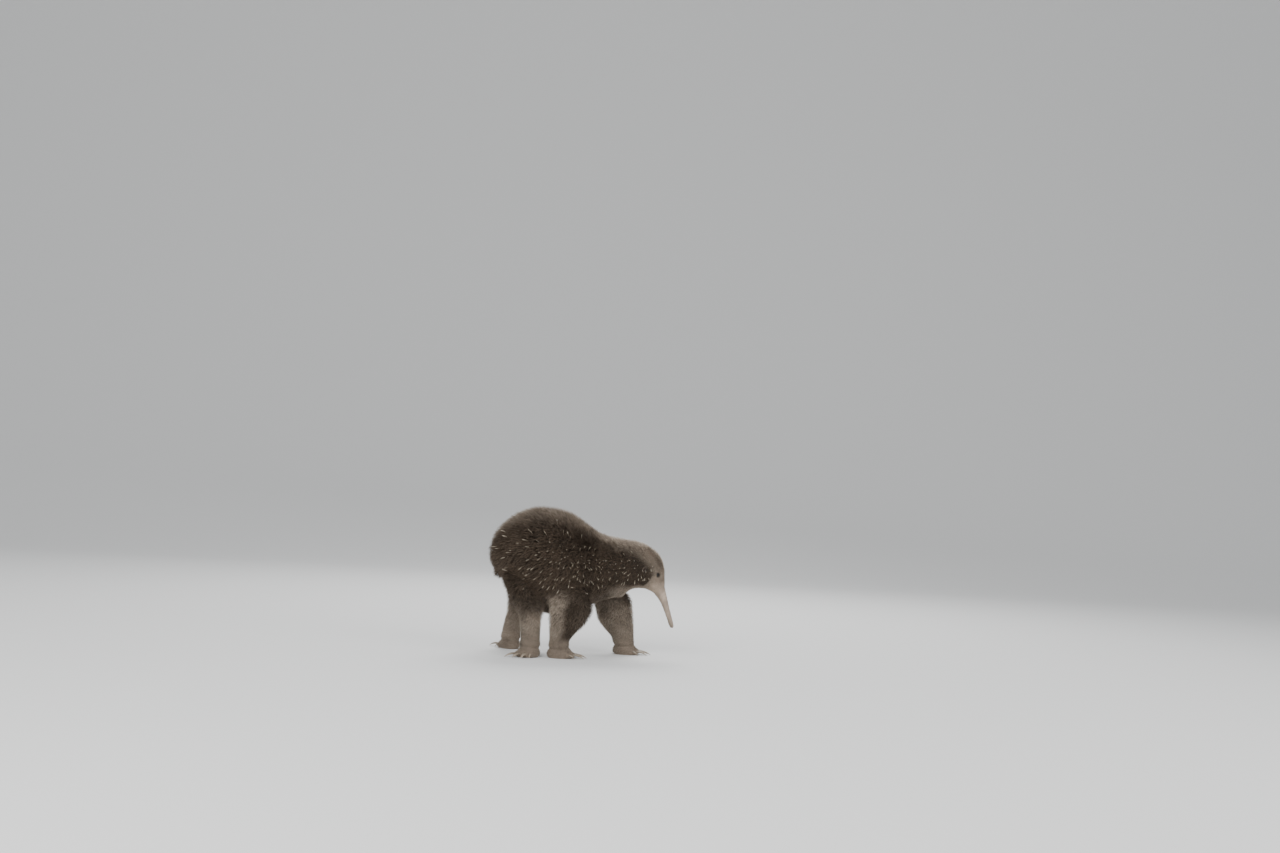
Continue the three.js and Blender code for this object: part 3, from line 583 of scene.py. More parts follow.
def field(points):
    """What the coat is like at each point of the skin."""
    station, angle, share = body_place(points).T
    x, y, height = points.T
    top = np.degrees(np.abs(angle))
    depth = body_coat(station, angle)
    lie = np.tile(BODY_LIE, (len(points), 1))
    lie[:, 2] *= ramp(top, *RIDGE_TOPS)
    pale = body_paleness_and_sheen(station, top)
    leg_share = np.zeros(len(points))
    places = {name: leg_place(name, points) for name in LEG_COLUMNS}
    u = UV_EDGE + BODY_U * (angle / (2 * math.pi) + 0.5)
    v = UV_EDGE + BODY_V * station / BODY_LAST
    for number, name in enumerate(LEG_COLUMNS):
        down, turn, near = places[name]
        side = y * LEG_SIDE[name] > 0
        fellow = next(n for n in LEG_COLUMNS if n != name and LEG_SIDE[n] == LEG_SIDE[name])
        fellow_near = places[fellow][2]
        low = 1 - ramp(height, *LEG_HEIGHTS)
        inside = 1 - ramp(near, *LEG_EDGES)
        mine = side * low * inside * (1 - ramp(near - share, *LEG_NEARER))
        sure = side & (height < SURE_HEIGHT) & (near < SURE_EDGE) & (near <= fellow_near)
        mine = np.where(sure, 1.0, mine)
        mine = np.where(near > fellow_near, 0.0, mine)
        leg_depth = np.interp(down, np.arange(LEG_LAST + 1), [row[5] for row in LEG_COLUMNS[name]])
        leg_depth = leg_depth * ramp(height, *SOLE_HEIGHTS)
        depth = depth * (1 - mine) + leg_depth * mine
        pale = pale * (1 - mine) + leg_paleness(name, x, height) * mine
        lie = lie * (1 - mine)[:, None] + LEG_LIE * mine[:, None]
        here = mine > 0.5
        u = np.where(here, LEG_U_FROM + LEG_U * (turn / (2 * math.pi) + 0.5), u)
        v = np.where(here, UV_EDGE + LEG_V_STEP * number + LEG_V * down / LEG_LAST, v)
        leg_share = np.maximum(leg_share, mine)
    beak = ramp(station, *BARE_STATIONS) * (1 - leg_share)
    depth = depth * (1 - beak)
    return {
        "station": station, "angle": angle, "depth": depth, "lie": lie, "pale": pale,
        "leg": leg_share, "beak": beak, "u": u, "v": v,
    }


skin_field = field(skin_points)

# Folds
# Lids round each eye, nostrils, the mouth, and creases on the beak's root, the face and the ankles. All
# are pushed out of the skin, or into it, along its normals.
LID_OPENING = 2.3  # half the height of the gap between the lids
LID_LONG = 1.3  # how much longer than high the gap is
LID_HIGH = 4.7  # the lids' edge above the bare skin
LID_REACH = 9.5
LID_SLOPE_FROM = 0.5
LID_EDGE_IN, LID_EDGE_OUT = 0.4, 0.3
LID_DEEPEST, LID_FARTHEST = -4, 14
LID_FOLDS = ((0.45, 4.5, 0.4), (0.35, 5.9, 0.45))  # depth, reach and width of each
PLEAT_HIGH, PLEATS, PLEAT_REACH, PLEAT_WIDTH = 0.14, 14, 5.6, 1.4
SOCKET_DEEP, SOCKET_FLOOR = 1.5, 1.0
LID_DARK, LID_LIGHTER = 0.22, 0.78
LID_DARK_FROM, LID_DARK_TO = 0.4, 2.2
LID_BARE_FROM, LID_BARE_TO = 0.7, 1.9
NOSTRIL_STATION = 16.2
NOSTRIL_ANGLE = math.radians(42)
NOSTRIL_DEEP, NOSTRIL_LONG, NOSTRIL_WIDE = 1.0, 2.0, 0.75
NOSTRIL_RIM, RIM_LONG, RIM_REACH, RIM_WIDE = 0.3, 3.0, 1.5, 0.6
MOUTH_LOW = 1.1
MOUTH_LENGTH, MOUTH_FADE, MOUTH_AHEAD, MOUTH_FARTHEST = 11, 3, -5, 40
SLIT_DEEP, SLIT_WIDE = 0.75, 0.45
LIP_RISE, LIP_LOW, LIP_WIDE = 0.22, 1.1, 0.5
RING_HIGH, RING_RATE, RING_FROM, RING_TO = 0.16, 17, (12.4, 13.2), (15.0, 17.0)
CREASE_HIGH, CREASE_RATE, CREASE_FROM, CREASE_TO = 0.3, 9, (11.2, 12.0), (12.8, 13.6)
ANKLE_CREASE, ANKLE_RATE, ANKLE_FROM, ANKLE_TO = 0.3, 1.5, (2, 8), (24, 40)

normals = np.array([v.normal for v in bm.verts])
push = np.zeros(len(skin_points))
lid_shade = np.ones(len(skin_points))
bare_spots = np.ones(len(skin_points))  # 0 where no hair grows

# lids
head_way = body_axes(np.array([EYE_STATION]))[1][0]
for middle, out in zip(eye_middles, eye_out):
    away = skin_points - middle
    outward_part = away @ out
    flat = away - np.outer(outward_part, out)
    ahead, above = flat @ head_way / LID_LONG, flat @ np.cross(out, head_way)
    reach = np.hypot(ahead, above)
    front = (outward_part > LID_DEEPEST) & (reach < LID_FARTHEST)
    rise = 1 - ramp(reach, LID_OPENING + LID_SLOPE_FROM, LID_REACH)
    rise *= ramp(reach, LID_OPENING - LID_EDGE_IN, LID_OPENING + LID_EDGE_OUT)
    folds = sum(deep * bell(reach, at, wide) for deep, at, wide in LID_FOLDS)
    pleats = PLEAT_HIGH * np.sin(PLEATS * np.arctan2(above, ahead)) * bell(reach, PLEAT_REACH, PLEAT_WIDTH)
    socket = SOCKET_DEEP * (1 - ramp(reach, SOCKET_FLOOR, LID_OPENING))
    push += front * (LID_HIGH * rise - folds + pleats - socket)
    paler = ramp(reach, LID_OPENING + LID_DARK_FROM, LID_OPENING + LID_DARK_TO)
    lid_shade *= np.where(front, LID_DARK + LID_LIGHTER * paler, 1)
    haired = ramp(reach, LID_OPENING + LID_BARE_FROM, LID_OPENING + LID_BARE_TO)
    bare_spots *= np.where(front, haired, 1)

# nostrils
nostril_spots = body_surface(np.array([NOSTRIL_STATION] * 2), np.array([NOSTRIL_ANGLE, -NOSTRIL_ANGLE]))
beak_way = body_axes(np.array([NOSTRIL_STATION]))[1][0]
for spot in nostril_spots:
    away = skin_points - spot
    length = away @ beak_way
    width = np.linalg.norm(away - np.outer(length, beak_way), axis=1)
    push -= NOSTRIL_DEEP * np.exp(-((length / NOSTRIL_LONG) ** 2 + (width / NOSTRIL_WIDE) ** 2))
    push += NOSTRIL_RIM * np.exp(-((length / RIM_LONG) ** 2 + ((width - RIM_REACH) / RIM_WIDE) ** 2))

# mouth
tip_middle, tip_way, tip_up, _ = (values[0] for values in body_axes(np.array([BODY_LAST - 0.01])))
away = skin_points - tip_middle
back_from_tip = -(away @ tip_way)
below = away @ tip_up + MOUTH_LOW
lip = 1 - ramp(back_from_tip, MOUTH_LENGTH - MOUTH_FADE, MOUTH_LENGTH)
lip = lip * (back_from_tip > MOUTH_AHEAD)
near_tip = np.linalg.norm(away, axis=1) < MOUTH_FARTHEST
slit = SLIT_DEEP * bell(below, 0, SLIT_WIDE)
lips = LIP_RISE * bell(np.abs(below), LIP_LOW, LIP_WIDE)
push += near_tip * lip * (lips - slit)

# creases
station, angle, height = skin_field["station"], skin_field["angle"], skin_points[:, 2]
off_legs = 1 - skin_field["leg"]
ring = np.sin(station * RING_RATE + 1.3 * np.sin(2 * angle) + 0.8 * np.sin(3 * angle + station * 4))
ringed = ramp(station, *RING_FROM) * (1 - ramp(station, *RING_TO)) * off_legs
push += RING_HIGH * ring * ringed
crease = np.sin(station * CREASE_RATE + 2.2 * np.cos(angle * 2))
creased = ramp(station, *CREASE_FROM) * (1 - ramp(station, *CREASE_TO)) * off_legs
push += CREASE_HIGH * crease * creased
ankle = skin_field["leg"] * (1 - ramp(height, *ANKLE_TO)) * ramp(height, *ANKLE_FROM)
push += ANKLE_CREASE * ankle * np.sin(height * ANKLE_RATE + 1.7 * np.sin(skin_points[:, 0] * 0.35))
skin_points = skin_points + normals * push[:, None]
skin_points[:, 2] = np.maximum(skin_points[:, 2], 0)

# Hide
# The skin's colours: dark umber under the dark coat, taupe where the coat is pale, and paler on the beak,
# which darkens to its tip. Painted shade darkens it where the folds push it in. A net of fine wrinkles
# lies over it.
DARK_HIDE = np.array([0.026, 0.020, 0.016])
PALE_HIDE = np.array([0.32, 0.245, 0.185])
BEAK_HIDE = np.array([0.35, 0.275, 0.215])
TIP_DARKER, TIP_STATIONS = 0.3, (14.0, 16.5)
# painted shade in the folds: how much darker per millimetre pushed in, and the darkest it gets
CREVICE_SHADE, CREVICE_SHADE_LEAST = 0.5, 0.25
MOTTLE_SCALE, MOTTLE_DETAIL, BLOTCH_SCALE, WRINKLE_SCALE = 260, 5, 45, 700
WRINKLE_DEEP = 1.6
BLOTCH_RANGE, BLOTCH_TONES = (0.3, 0.7), (0.72, 1.25)

coat_paleness, beak = skin_field["pale"][:, None], skin_field["beak"][:, None]
# the hide follows the coat's paleness, the painted sheen on back, rump and breast included
hide = DARK_HIDE * (1 - coat_paleness) + PALE_HIDE * coat_paleness
hide = hide * (1 - beak) + BEAK_HIDE * beak
hide = hide * (1 - TIP_DARKER * ramp(station, *TIP_STATIONS) * skin_field["beak"])[:, None]
# painted shade: the hide is darkened where the folds push it into the skin
crevice_shade = np.clip(1 + CREVICE_SHADE * np.minimum(push, 0), CREVICE_SHADE_LEAST, 1)
hide = hide * crevice_shade[:, None] * lid_shade[:, None]
layer = bm.verts.layers.float_color.new("hide")
for vert, place, colour in zip(bm.verts, skin_points * MM + SHIFT, hide):
    vert.co = place
    vert[layer] = (*colour, 1)

hide_material, shader = material_of("wrinkled_hide", 0.55, 0.35)
blotch = texture_on(hide_material, "ShaderNodeTexNoise", BLOTCH_SCALE)
painted(hide_material, shader, "hide", blotch, BLOTCH_RANGE, BLOTCH_TONES)
mottle = texture_on(hide_material, "ShaderNodeTexNoise", MOTTLE_SCALE)
mottle.inputs["Detail"].default_value = MOTTLE_DETAIL
wrinkle = texture_on(hide_material, "ShaderNodeTexVoronoi", WRINKLE_SCALE)
wrinkle.feature = "DISTANCE_TO_EDGE"
relief = hide_material.node_tree.nodes.new("ShaderNodeMath")
relief.operation = "MULTIPLY_ADD"
relief.inputs[1].default_value = WRINKLE_DEEP
hide_material.node_tree.links.new(wrinkle.outputs["Distance"], relief.inputs[0])
hide_material.node_tree.links.new(mottle.outputs["Fac"], relief.inputs[2])
bumped(hide_material, shader, relief.outputs["Value"], 0.0005, 0.7)

flesh = ["torso", "neck", "head", "beak", "tail"]
flesh += [f"{name}_{part}" for name in LEG_COLUMNS for part in ("upper", "lower", "foot")]
skin = finished("skin", bm, hide_material, "bare_skin", *flesh)

# Coat
# Dense plush fur, dark umber at the root with paler tips, standing out from the skin and swept a little
# back and down. The near-black roots are partly the fur's own colour and partly painted shade deep in the
# coat, and the pale tips partly its colour and partly painted sheen. It is longest on the rump and back,
# short on the head and legs and gone on the beak.
# Each tuft is a closed, curved, three-sided taper; long tufts have one more joint than short ones.
LONG_TUFTS = 62000
SHORT_TUFTS = 42000
LONG_FROM = 6.5  # coat depth above which the tufts are long ones
LONG_BLEND = 1.5
HAIRED_FROM = (0.3, 0.8)
SOLE_BARE_BELOW = 3
LOWEST_HAIR = 0.5
TRIANGLES_A_PIECE = 190000
ROOT_SUNK = 0.6
CURVED, STRAIGHT = 0.35, 0.65  # how much of a tuft's rise follows a curve, and how much a line
LEAN_POWER, TONE_POWER, TAPER_POWER = 1.6, 2.2, 0.75
TUFT_FLATNESS = 0.6
UV_HALF = 0.0015  # half the size of a tuft's patch
UV_SPREAD = 0.002
DEPTHS = (0, 2, 8, 20)  # coat depths for which leans and half widths are given
LEANS = (1.6, 1.2, 0.85, 0.6)
LONG_WIDTHS = (0.25, 0.42, 0.65, 0.85)
SHORT_WIDTHS = (0.25, 0.40, 0.6, 0.8)
LENGTHS = (0.78, 1.04)
LEAN_SPREAD, WIDTH_SPREAD, BRIGHTNESS = (0.7, 1.3), (0.8, 1.2), (0.75, 1.3)
ANKLE_HAIR, ANKLE_DEPTHS = 1.3, (1.0, 7.0)
PATCH_TONE, PATCH_PITCH, TONE_SPREAD = 0.35, 26, 0.07
SWIRL, SWIRL_PITCH, LIE_SPREAD = 0.35, 34, 0.22
CLUMP, CLUMP_PITCH, NORMAL_SPREAD = 0.05, 12, 0.07
# root and tip colours: the roots' darkness is partly painted shade deep in the coat, the tips' paleness
# partly painted sheen
DARK_ROOT = np.array([0.008, 0.006, 0.0045])
DARK_TIP = np.array([0.112, 0.078, 0.052])
PALE_ROOT = np.array([0.16, 0.122, 0.090])
PALE_TIP = np.array([0.60, 0.51, 0.41])
EAR_STATION = 10.8
EAR_ANGLE = math.radians(80)
EAR_BARE_AHEAD, EAR_BARE_OUT, EAR_BARE_HIGH, EAR_BARE = 1.6, 3, 1.5, (3.6, 4.6)
draws = np.random.default_rng(4)

fur, shader = material_of("plush_fur", 0.62, 0.25)
shader.inputs["Sheen Weight"].default_value = 0.12
shader.inputs["Sheen Tint"].default_value = (0.6, 0.45, 0.32, 1)
shader.inputs["Sheen Roughness"].default_value = 0.4
patch = texture_on(fur, "ShaderNodeTexNoise", 28)
patch.inputs["Detail"].default_value = 4
painted(fur, shader, "fur", patch, (0.3, 0.7), (0.75, 1.25))

hide_mesh = skin.data
hide_mesh.calc_loop_triangles()
corners = np.empty(len(hide_mesh.loop_triangles) * 3, dtype=np.int32)
hide_mesh.loop_triangles.foreach_get("vertices", corners)
corners = corners.reshape(-1, 3)
hide_normals = np.empty(len(hide_mesh.vertices) * 3, dtype=np.float32)
hide_mesh.vertex_normals.foreach_get("vector", hide_normals)
hide_normals = hide_normals.reshape(-1, 3).astype(float)


def scattered(count, weight):
    """Evenly scattered places on the skin: a triangle and the shares of its corners."""
    a, b, c = (skin_points[corners[:, i]] for i in range(3))
    area = np.linalg.norm(np.cross(b - a, c - a), axis=1) / 2
    total = np.cumsum(area * weight[corners].mean(1))
    spots = (np.arange(count) + draws.random(count)) / count * total[-1]
    triangle = np.searchsorted(total, spots)
    s, t = draws.random(count), draws.random(count)
    over = s + t > 1
    s[over], t[over] = 1 - s[over], 1 - t[over]
    return triangle, np.stack([1 - s - t, s, t], 1)


def blended(values, triangle, share):
    """Values of the skin's points at scattered places."""
    picked = values[corners[triangle]]
    return (picked * (share if values.ndim == 1 else share[:, :, None])).sum(1)


def unit(vectors):
    return vectors / np.maximum(np.linalg.norm(vectors, axis=1), 1e-9)[:, None]


def level_with(normal, vectors):
    """Directions laid flat on the skin."""
    return unit(vectors - normal * (vectors * normal).sum(1)[:, None])


def waves(points, pitch, seed):
    """A smooth, direction-giving noise over the body."""
    turns = np.random.default_rng(seed).normal(size=(3, 3, 3)) / pitch
    shifts = np.random.default_rng(seed + 1).random((3, 3)) * 6.28
    return np.stack([
        sum(np.sin(points @ turns[axis, k] * 6.28 + shifts[axis, k]) for k in range(3)) for axis in range(3)
    ], 1) / 2


def tuft_faces(joints):
    """The triangles of one tuft: its root, its sides from ring to ring, and its tip."""
    faces = [(0, 1, 2)]
    for ring in range(joints):
        for k in range(3):
            a, b = ring * 3 + k, ring * 3 + (k + 1) % 3
            faces += [(b, a, b + 3), (b + 3, a, a + 3)]
    faces += [(joints * 3 + (k + 1) % 3, joints * 3 + k, joints * 3 + 3) for k in range(3)]
    return np.array(faces)


def tuft_mesh(name, root, normal, lie, length, lean, half_width, colours, uv, joints):
    """Joined tufts as one mesh. Each has joints + 1 rings of three points and a tip."""
    count = len(root)
    side = unit(np.cross(normal, lie))
    rings = joints + 1
    points = np.empty((count, rings * 3 + 1, 3))
    tints = np.ones((count, rings * 3 + 1, 4))
    flat = np.empty((count, rings * 3 + 1, 2))
    for ring, share in enumerate(np.linspace(0, 1, rings + 1)):
        rise = np.sin(share * math.pi / 2) * CURVED + STRAIGHT * share
        middle = root + normal * (length * rise - ROOT_SUNK)[:, None]
        middle += lie * (length * lean * share**LEAN_POWER)[:, None]
        # root to tip: from the root colour, partly painted shade, to the tip colour, partly painted sheen
        mix = share**TONE_POWER
        tone = colours[0] * (1 - mix) + colours[1] * mix
        if ring == rings:
            points[:, -1] = middle
            tints[:, -1, :3] = tone
            flat[:, -1] = uv + [0, UV_HALF]
            continue
        width = half_width * (1 - share) ** TAPER_POWER
        for k in range(3):
            turn = 2 * math.pi * k / 3 + math.pi / 6
            points[:, ring * 3 + k] = (
                middle
                + side * (width * math.cos(turn))[:, None]
                + lie * (TUFT_FLATNESS * width * math.sin(turn))[:, None]
            )
            tints[:, ring * 3 + k, :3] = tone
            flat[:, ring * 3 + k] = uv + [UV_HALF * math.cos(turn), UV_HALF * (share - 0.5)]
    points[:, :, 2] = np.maximum(points[:, :, 2], LOWEST_HAIR)
    per_tuft = rings * 3 + 1
    index = (tuft_faces(joints)[None] + (np.arange(count) * per_tuft)[:, None, None]).reshape(-1)
    mesh = bpy.data.meshes.new(name)
    mesh.vertices.add(count * per_tuft)
    mesh.vertices.foreach_set("co", (points.reshape(-1, 3) * MM + SHIFT).astype(np.float32).ravel())
    mesh.loops.add(len(index))
    mesh.loops.foreach_set("vertex_index", index.astype(np.int32))
    mesh.polygons.add(len(index) // 3)
    mesh.polygons.foreach_set("loop_start", np.arange(0, len(index), 3, dtype=np.int32))
    mesh.update(calc_edges=True)
    shades = mesh.attributes.new("fur", "FLOAT_COLOR", "POINT")
    shades.data.foreach_set("color", tints.astype(np.float32).ravel())
    layer = mesh.uv_layers.new(name="OFBake")
    layer.data.foreach_set("uv", flat.reshape(-1, 2)[index].astype(np.float32).ravel())
    mesh.polygons.foreach_set("use_smooth", np.ones(len(index) // 3, dtype=bool))
    return mesh


def coat_of(kind, slot, count, weight, joints, widths):
    """Tufts of one kind over the whole skin, in pieces that stay small enough to keep."""
    triangle, share = scattered(count, weight)
    root = blended(skin_points, triangle, share)
    normal = unit(blended(hide_normals, triangle, share))
    lie = blended(skin_field["lie"], triangle, share)
    pale = blended(skin_field["pale"], triangle, share)
    depth = blended(skin_field["depth"], triangle, share)
    leg = blended(skin_field["leg"], triangle, share)

    uneven = PATCH_TONE * pale * (1.15 - pale) * waves(root, PATCH_PITCH, 31)[:, 0]
    pale = np.clip(pale + uneven + draws.normal(0, TONE_SPREAD, count), 0, 1)
    lie = lie + SWIRL * waves(root, SWIRL_PITCH, 11) + draws.normal(0, LIE_SPREAD, (count, 3))
    lie = level_with(normal, lie)
    normal = unit(normal + draws.normal(0, NORMAL_SPREAD, (count, 3)) + CLUMP * waves(root, CLUMP_PITCH, 21))
    low_leg = (1 - ramp(depth, *ANKLE_DEPTHS)) * leg
    length = depth * draws.uniform(*LENGTHS, count) + ANKLE_HAIR * low_leg
    lean = np.interp(depth, DEPTHS, LEANS) * draws.uniform(*LEAN_SPREAD, count)
    half_width = np.interp(depth, DEPTHS, widths) * draws.uniform(*WIDTH_SPREAD, count)
    bright = draws.uniform(*BRIGHTNESS, count)[:, None]
    pale = pale[:, None]
    roots = (DARK_ROOT * (1 - pale) + PALE_ROOT * pale) * bright
    tips = (DARK_TIP * (1 - pale) + PALE_TIP * pale) * bright
    uv = np.stack([
        skin_field[axis][corners[triangle, 0]] + draws.uniform(-UV_SPREAD, UV_SPREAD, count)
        for axis in ("u", "v")
    ], 1)

    order = np.argsort(root[:, 0])
    pieces = math.ceil(count * len(tuft_faces(joints)) / TRIANGLES_A_PIECE)
    for number, part in enumerate(np.array_split(order, pieces), 1):
        name = f"coat_{kind}_{number}"
        mesh = tuft_mesh(
            name, root[part], normal[part], lie[part], length[part], lean[part], half_width[part],
            (roots[part], tips[part]), uv[part], joints,
        )
        placed(name, mesh, fur, slot)


# no hair over the ears' openings
ear_spots = body_surface(np.array([EAR_STATION] * 2), np.array([EAR_ANGLE, -EAR_ANGLE]))
for spot in ear_spots:
    away = skin_points - spot - [EAR_BARE_AHEAD, 0, 0]
    ahead, aside, above = away[:, 0], away[:, 1] / EAR_BARE_OUT, away[:, 2] / EAR_BARE_HIGH
    reach = np.sqrt(ahead ** 2 + aside ** 2 + above ** 2)
    bare_spots *= ramp(reach, *EAR_BARE)
depth = skin_field["depth"]
long_share = ramp(depth, LONG_FROM - LONG_BLEND, LONG_FROM + LONG_BLEND)
short_share = (1 - long_share) * ramp(depth, *HAIRED_FROM)
off_soles = skin_points[:, 2] > SOLE_BARE_BELOW
coat_of("long", "coat", LONG_TUFTS, long_share * bare_spots, 2, LONG_WIDTHS)
coat_of("short", "pale_fur", SHORT_TUFTS, short_share * bare_spots * off_soles, 1, SHORT_WIDTHS)

# Spines
# Stiff, pointed, cream-coloured hairs about a millimetre thick, almost buried in the fur: only their ends
# show, scattered over flanks, shoulders, neck and cheeks. They lean back with the coat.
SPINES = 300
SPINE_RADIUS = 0.62
SPINE_SHARE = 0.9  # of the coat's depth, to which the next is added
SPINE_PAST = 1.0
SPINE_SIDES = 6
SPINE_TAPER = 0.6
POINT_LONG = 4  # in radii
LEAST_SLOPE = 0.4
SPINE_LEANS, SPINE_STRAY = (0.15, 0.6), 0.1
PAST_SPREAD, RADIUS_SPREAD = (0.3, 1.7), (0.75, 1.15)
FLANK_TOPS, OFF_RIDGE_TOPS, OFF_BELLY_TOPS = (48, 72), (12, 30), (112, 130)
ABOVE_FLANK, ON_FLANK = 0.04, 0.96
FROM_RUMP, TO_CHEEK = (0.6, 1.6), (11.0, 11.8)
BEHIND, AHEAD_MORE, BEHIND_STATIONS = 0.3, 0.7, (2.5, 6.5)

horn, shader = material_of("spine_horn", 0.38, 0.5)
grain = texture_on(horn, "ShaderNodeTexNoise", 180)
colours = horn.node_tree.nodes.new("ShaderNodeValToRGB")
colours.color_ramp.elements[0].position = 0.3
colours.color_ramp.elements[0].color = (0.42, 0.35, 0.25, 1)
colours.color_ramp.elements[1].position = 0.7
colours.color_ramp.elements[1].color = (0.74, 0.67, 0.54, 1)
horn.node_tree.links.new(grain.outputs["Fac"], colours.inputs["Fac"])
horn.node_tree.links.new(colours.outputs["Color"], shader.inputs["Base Color"])

top = np.degrees(np.abs(skin_field["angle"]))
on_flank = (ABOVE_FLANK + ON_FLANK * ramp(top, *FLANK_TOPS)) * ramp(top, *OFF_RIDGE_TOPS)
on_flank *= 1 - ramp(top, *OFF_BELLY_TOPS)
along_body = ramp(station, *FROM_RUMP) * (1 - ramp(station, *TO_CHEEK))
fewer_behind = BEHIND + AHEAD_MORE * ramp(station, *BEHIND_STATIONS)
triangle, share = scattered(SPINES, on_flank * along_body * fewer_behind * off_legs)
root = blended(skin_points, triangle, share)
normal = unit(blended(hide_normals, triangle, share))
lie = level_with(normal, blended(skin_field["lie"], triangle, share))
deep_at = blended(skin_field["depth"], triangle, share)
bm = bmesh.new()
for start, out, back, deep in zip(root, normal, lie, deep_at):
    way = Vector(out + back * draws.uniform(*SPINE_LEANS) + draws.normal(0, SPINE_STRAY, 3)).normalized()
    past = SPINE_PAST * draws.uniform(*PAST_SPREAD)
    length = (SPINE_SHARE * deep + past) / max(LEAST_SLOPE, way.dot(Vector(out)))
    radius = SPINE_RADIUS * draws.uniform(*RADIUS_SPREAD)
    turn = Vector((0, 0, 1)).rotation_difference(way).to_matrix().to_4x4()
    middle = Vector(start) + way * (length / 2)
    stem = bmesh.ops.create_cone(
        bm, cap_ends=True, cap_tris=True, segments=SPINE_SIDES, radius1=radius,
        radius2=radius * SPINE_TAPER, depth=length, matrix=Matrix.Translation(middle) @ turn,
    )["verts"]
    # the middle of the outer cap is drawn out to a point
    tip = Vector(start) + way * length
    point = min(stem, key=lambda v: (v.co - tip).length)
    point.co = tip + way * radius * POINT_LONG
for v in bm.verts:
    v.co = v.co * MM + Vector(SHIFT)
finished("spines", bm, horn, "claw_horn")

# Ears
# A short upright cup of thin bare skin behind each cheek, curled over at the front edge and hollow inside,
# its lining darkened towards the floor by painted shade, and so deep in the fur that only its rim shows.
EAR_HIGH = 6.6
EAR_LONG = 3.7
EAR_DEEP = 6.5
EAR_WALL = 1.3
EAR_PAST = -0.4
EAR_FORWARD = 0.25
EAR_SEGMENTS, EAR_RINGS = 48, 36
EAR_ROUND, EAR_FLOOR = 0.6, 1.7  # powers: how soon the cup opens, and how round its floor is
EAR_PINCH = 0.22  # how much narrower it is above than below
RIB, RIBS = 0.025, 9
CURL, CURL_FROM = 1.1, 0.75
RIM_POWER, RIM_LONGER, RIM_HIGHER = 6, 0.14, 0.08
RIM_TOP, RIM_FRONT = 0.5, 1.4
LINING_FLOOR = 0.86
EAR_TONE = (0.085, 0.063, 0.047)
# painted shade in the lining: its tone at the floor, how much it rises towards the rim, and how late
LINING_SHADE, LINING_SHADE_LIFT, LINING_SHADE_POWER = 0.25, 0.55, 4

for side, sign, spot in zip(("right", "left"), (1, -1), ear_spots):
    at, turn = np.array([EAR_STATION]), np.array([sign * EAR_ANGLE])
    out = surface_frame(body_surface, BODY_LAST, -1, at, turn)[2][0]
    along = body_axes(at)[1][0]
    facing = Vector(out + EAR_FORWARD * along).normalized()
    fore = (Vector(along) - facing * facing.dot(Vector(along))).normalized()
    up = facing.cross(fore) * (1 if facing.cross(fore).z > 0 else -1)
    bm = bmesh.new()
    layer = bm.verts.layers.float_color.new("hide")
    ball = bmesh.ops.create_uvsphere(bm, u_segments=EAR_SEGMENTS, v_segments=EAR_RINGS, radius=1)
    for v in ball["verts"]:
        # the ball's lower half is the outside of the cup, the upper half is pushed in to be its lining
        lining = v.co.z > 0
        level = math.acos(max(-1, min(1, abs(v.co.z)))) / (math.pi / 2)
        angle = math.atan2(v.co.y, v.co.x)
        share = level**EAR_ROUND if level > 0 else 0
        if lining and level < 0.999:
            share *= 1 - EAR_WALL / EAR_LONG
        pinch = 1 - EAR_PINCH * math.cos(angle - math.pi / 2)
        rib = 1 + RIB * math.sin(RIBS * angle) * level
        rim = level**RIM_POWER
        curl = -CURL * max(0, math.cos(angle)) ** 2 * ramp(level, CURL_FROM, 1.0)
        long = EAR_LONG * share * pinch * rib * (1 + RIM_LONGER * rim) * math.cos(angle) + curl
        high = EAR_HIGH * share * rib * (1 + RIM_HIGHER * rim) * math.sin(angle)
        bottom = -EAR_DEEP * (1 - level**EAR_FLOOR) * (LINING_FLOOR if lining else 1.0)
        edge = EAR_PAST + (RIM_TOP * math.sin(angle) - RIM_FRONT * math.cos(angle)) * level
        place = Vector(spot) + fore * long + up * high + facing * (bottom + edge * level)
        v.co = place * MM + Vector(SHIFT)
        # painted shade: the lining darkens towards the floor of the cup
        tone = LINING_SHADE + LINING_SHADE_LIFT * level**LINING_SHADE_POWER if lining else 1.0
        v[layer] = (*(colour * tone for colour in EAR_TONE), 1)
    bmesh.ops.recalc_face_normals(bm, faces=bm.faces)
    finished(f"ear_cup_{side}", bm, hide_material, "bare_skin", f"ear_{side}")

# Claws
# Long, blunt digging claws of horn, rounded above and gently arched, darker at the root. Each grows out
# of the front of its toe and comes down almost to the ground.
CLAW_NET = (16, 22)
CLAW_HALF_WIDTH = 2.9
CLAW_HALF_THICKNESS = 2.3
CLAW_ROOT = 5
CLAW_Z = 5.2
CLAW_ARCH = 9
CLAW_CLEAR = 0.6
CLAW_SPLAY = 0.55
SMALL_BELOW, SMALL_CLAW = 13, 0.75
ROOT_SWELL = 9
TIP_POWER, TIP_TAPER = 2.4, 0.75
UNDERSIDE = 0.7  # how thick a claw is below its middle, as a share of above
LOWEST_CLAW = 0.15
CLAW_TONE = (0.30, 0.245, 0.185)
TONE_AT_ROOT, TONE_RISE = 0.5, 0.6

claw_horn, shader = material_of("claw_horn", 0.34, 0.5)
streak = texture_on(claw_horn, "ShaderNodeTexNoise", 420)
streak.inputs["Detail"].default_value = 3
painted(claw_horn, shader, "horn", streak, (0, 1), (0.7, 1.3))
bumped(claw_horn, shader, streak.outputs["Fac"], 0.0003, 0.5)


def claw_middle(start, way, length, share):
    """The middle of a claw at a share of its length: arched, and almost down to the ground at its tip."""
    place = start + way * share * length
    place.z = CLAW_Z + CLAW_ARCH * share * (1 - share) - (CLAW_Z - CLAW_CLEAR) * share**2
    return place


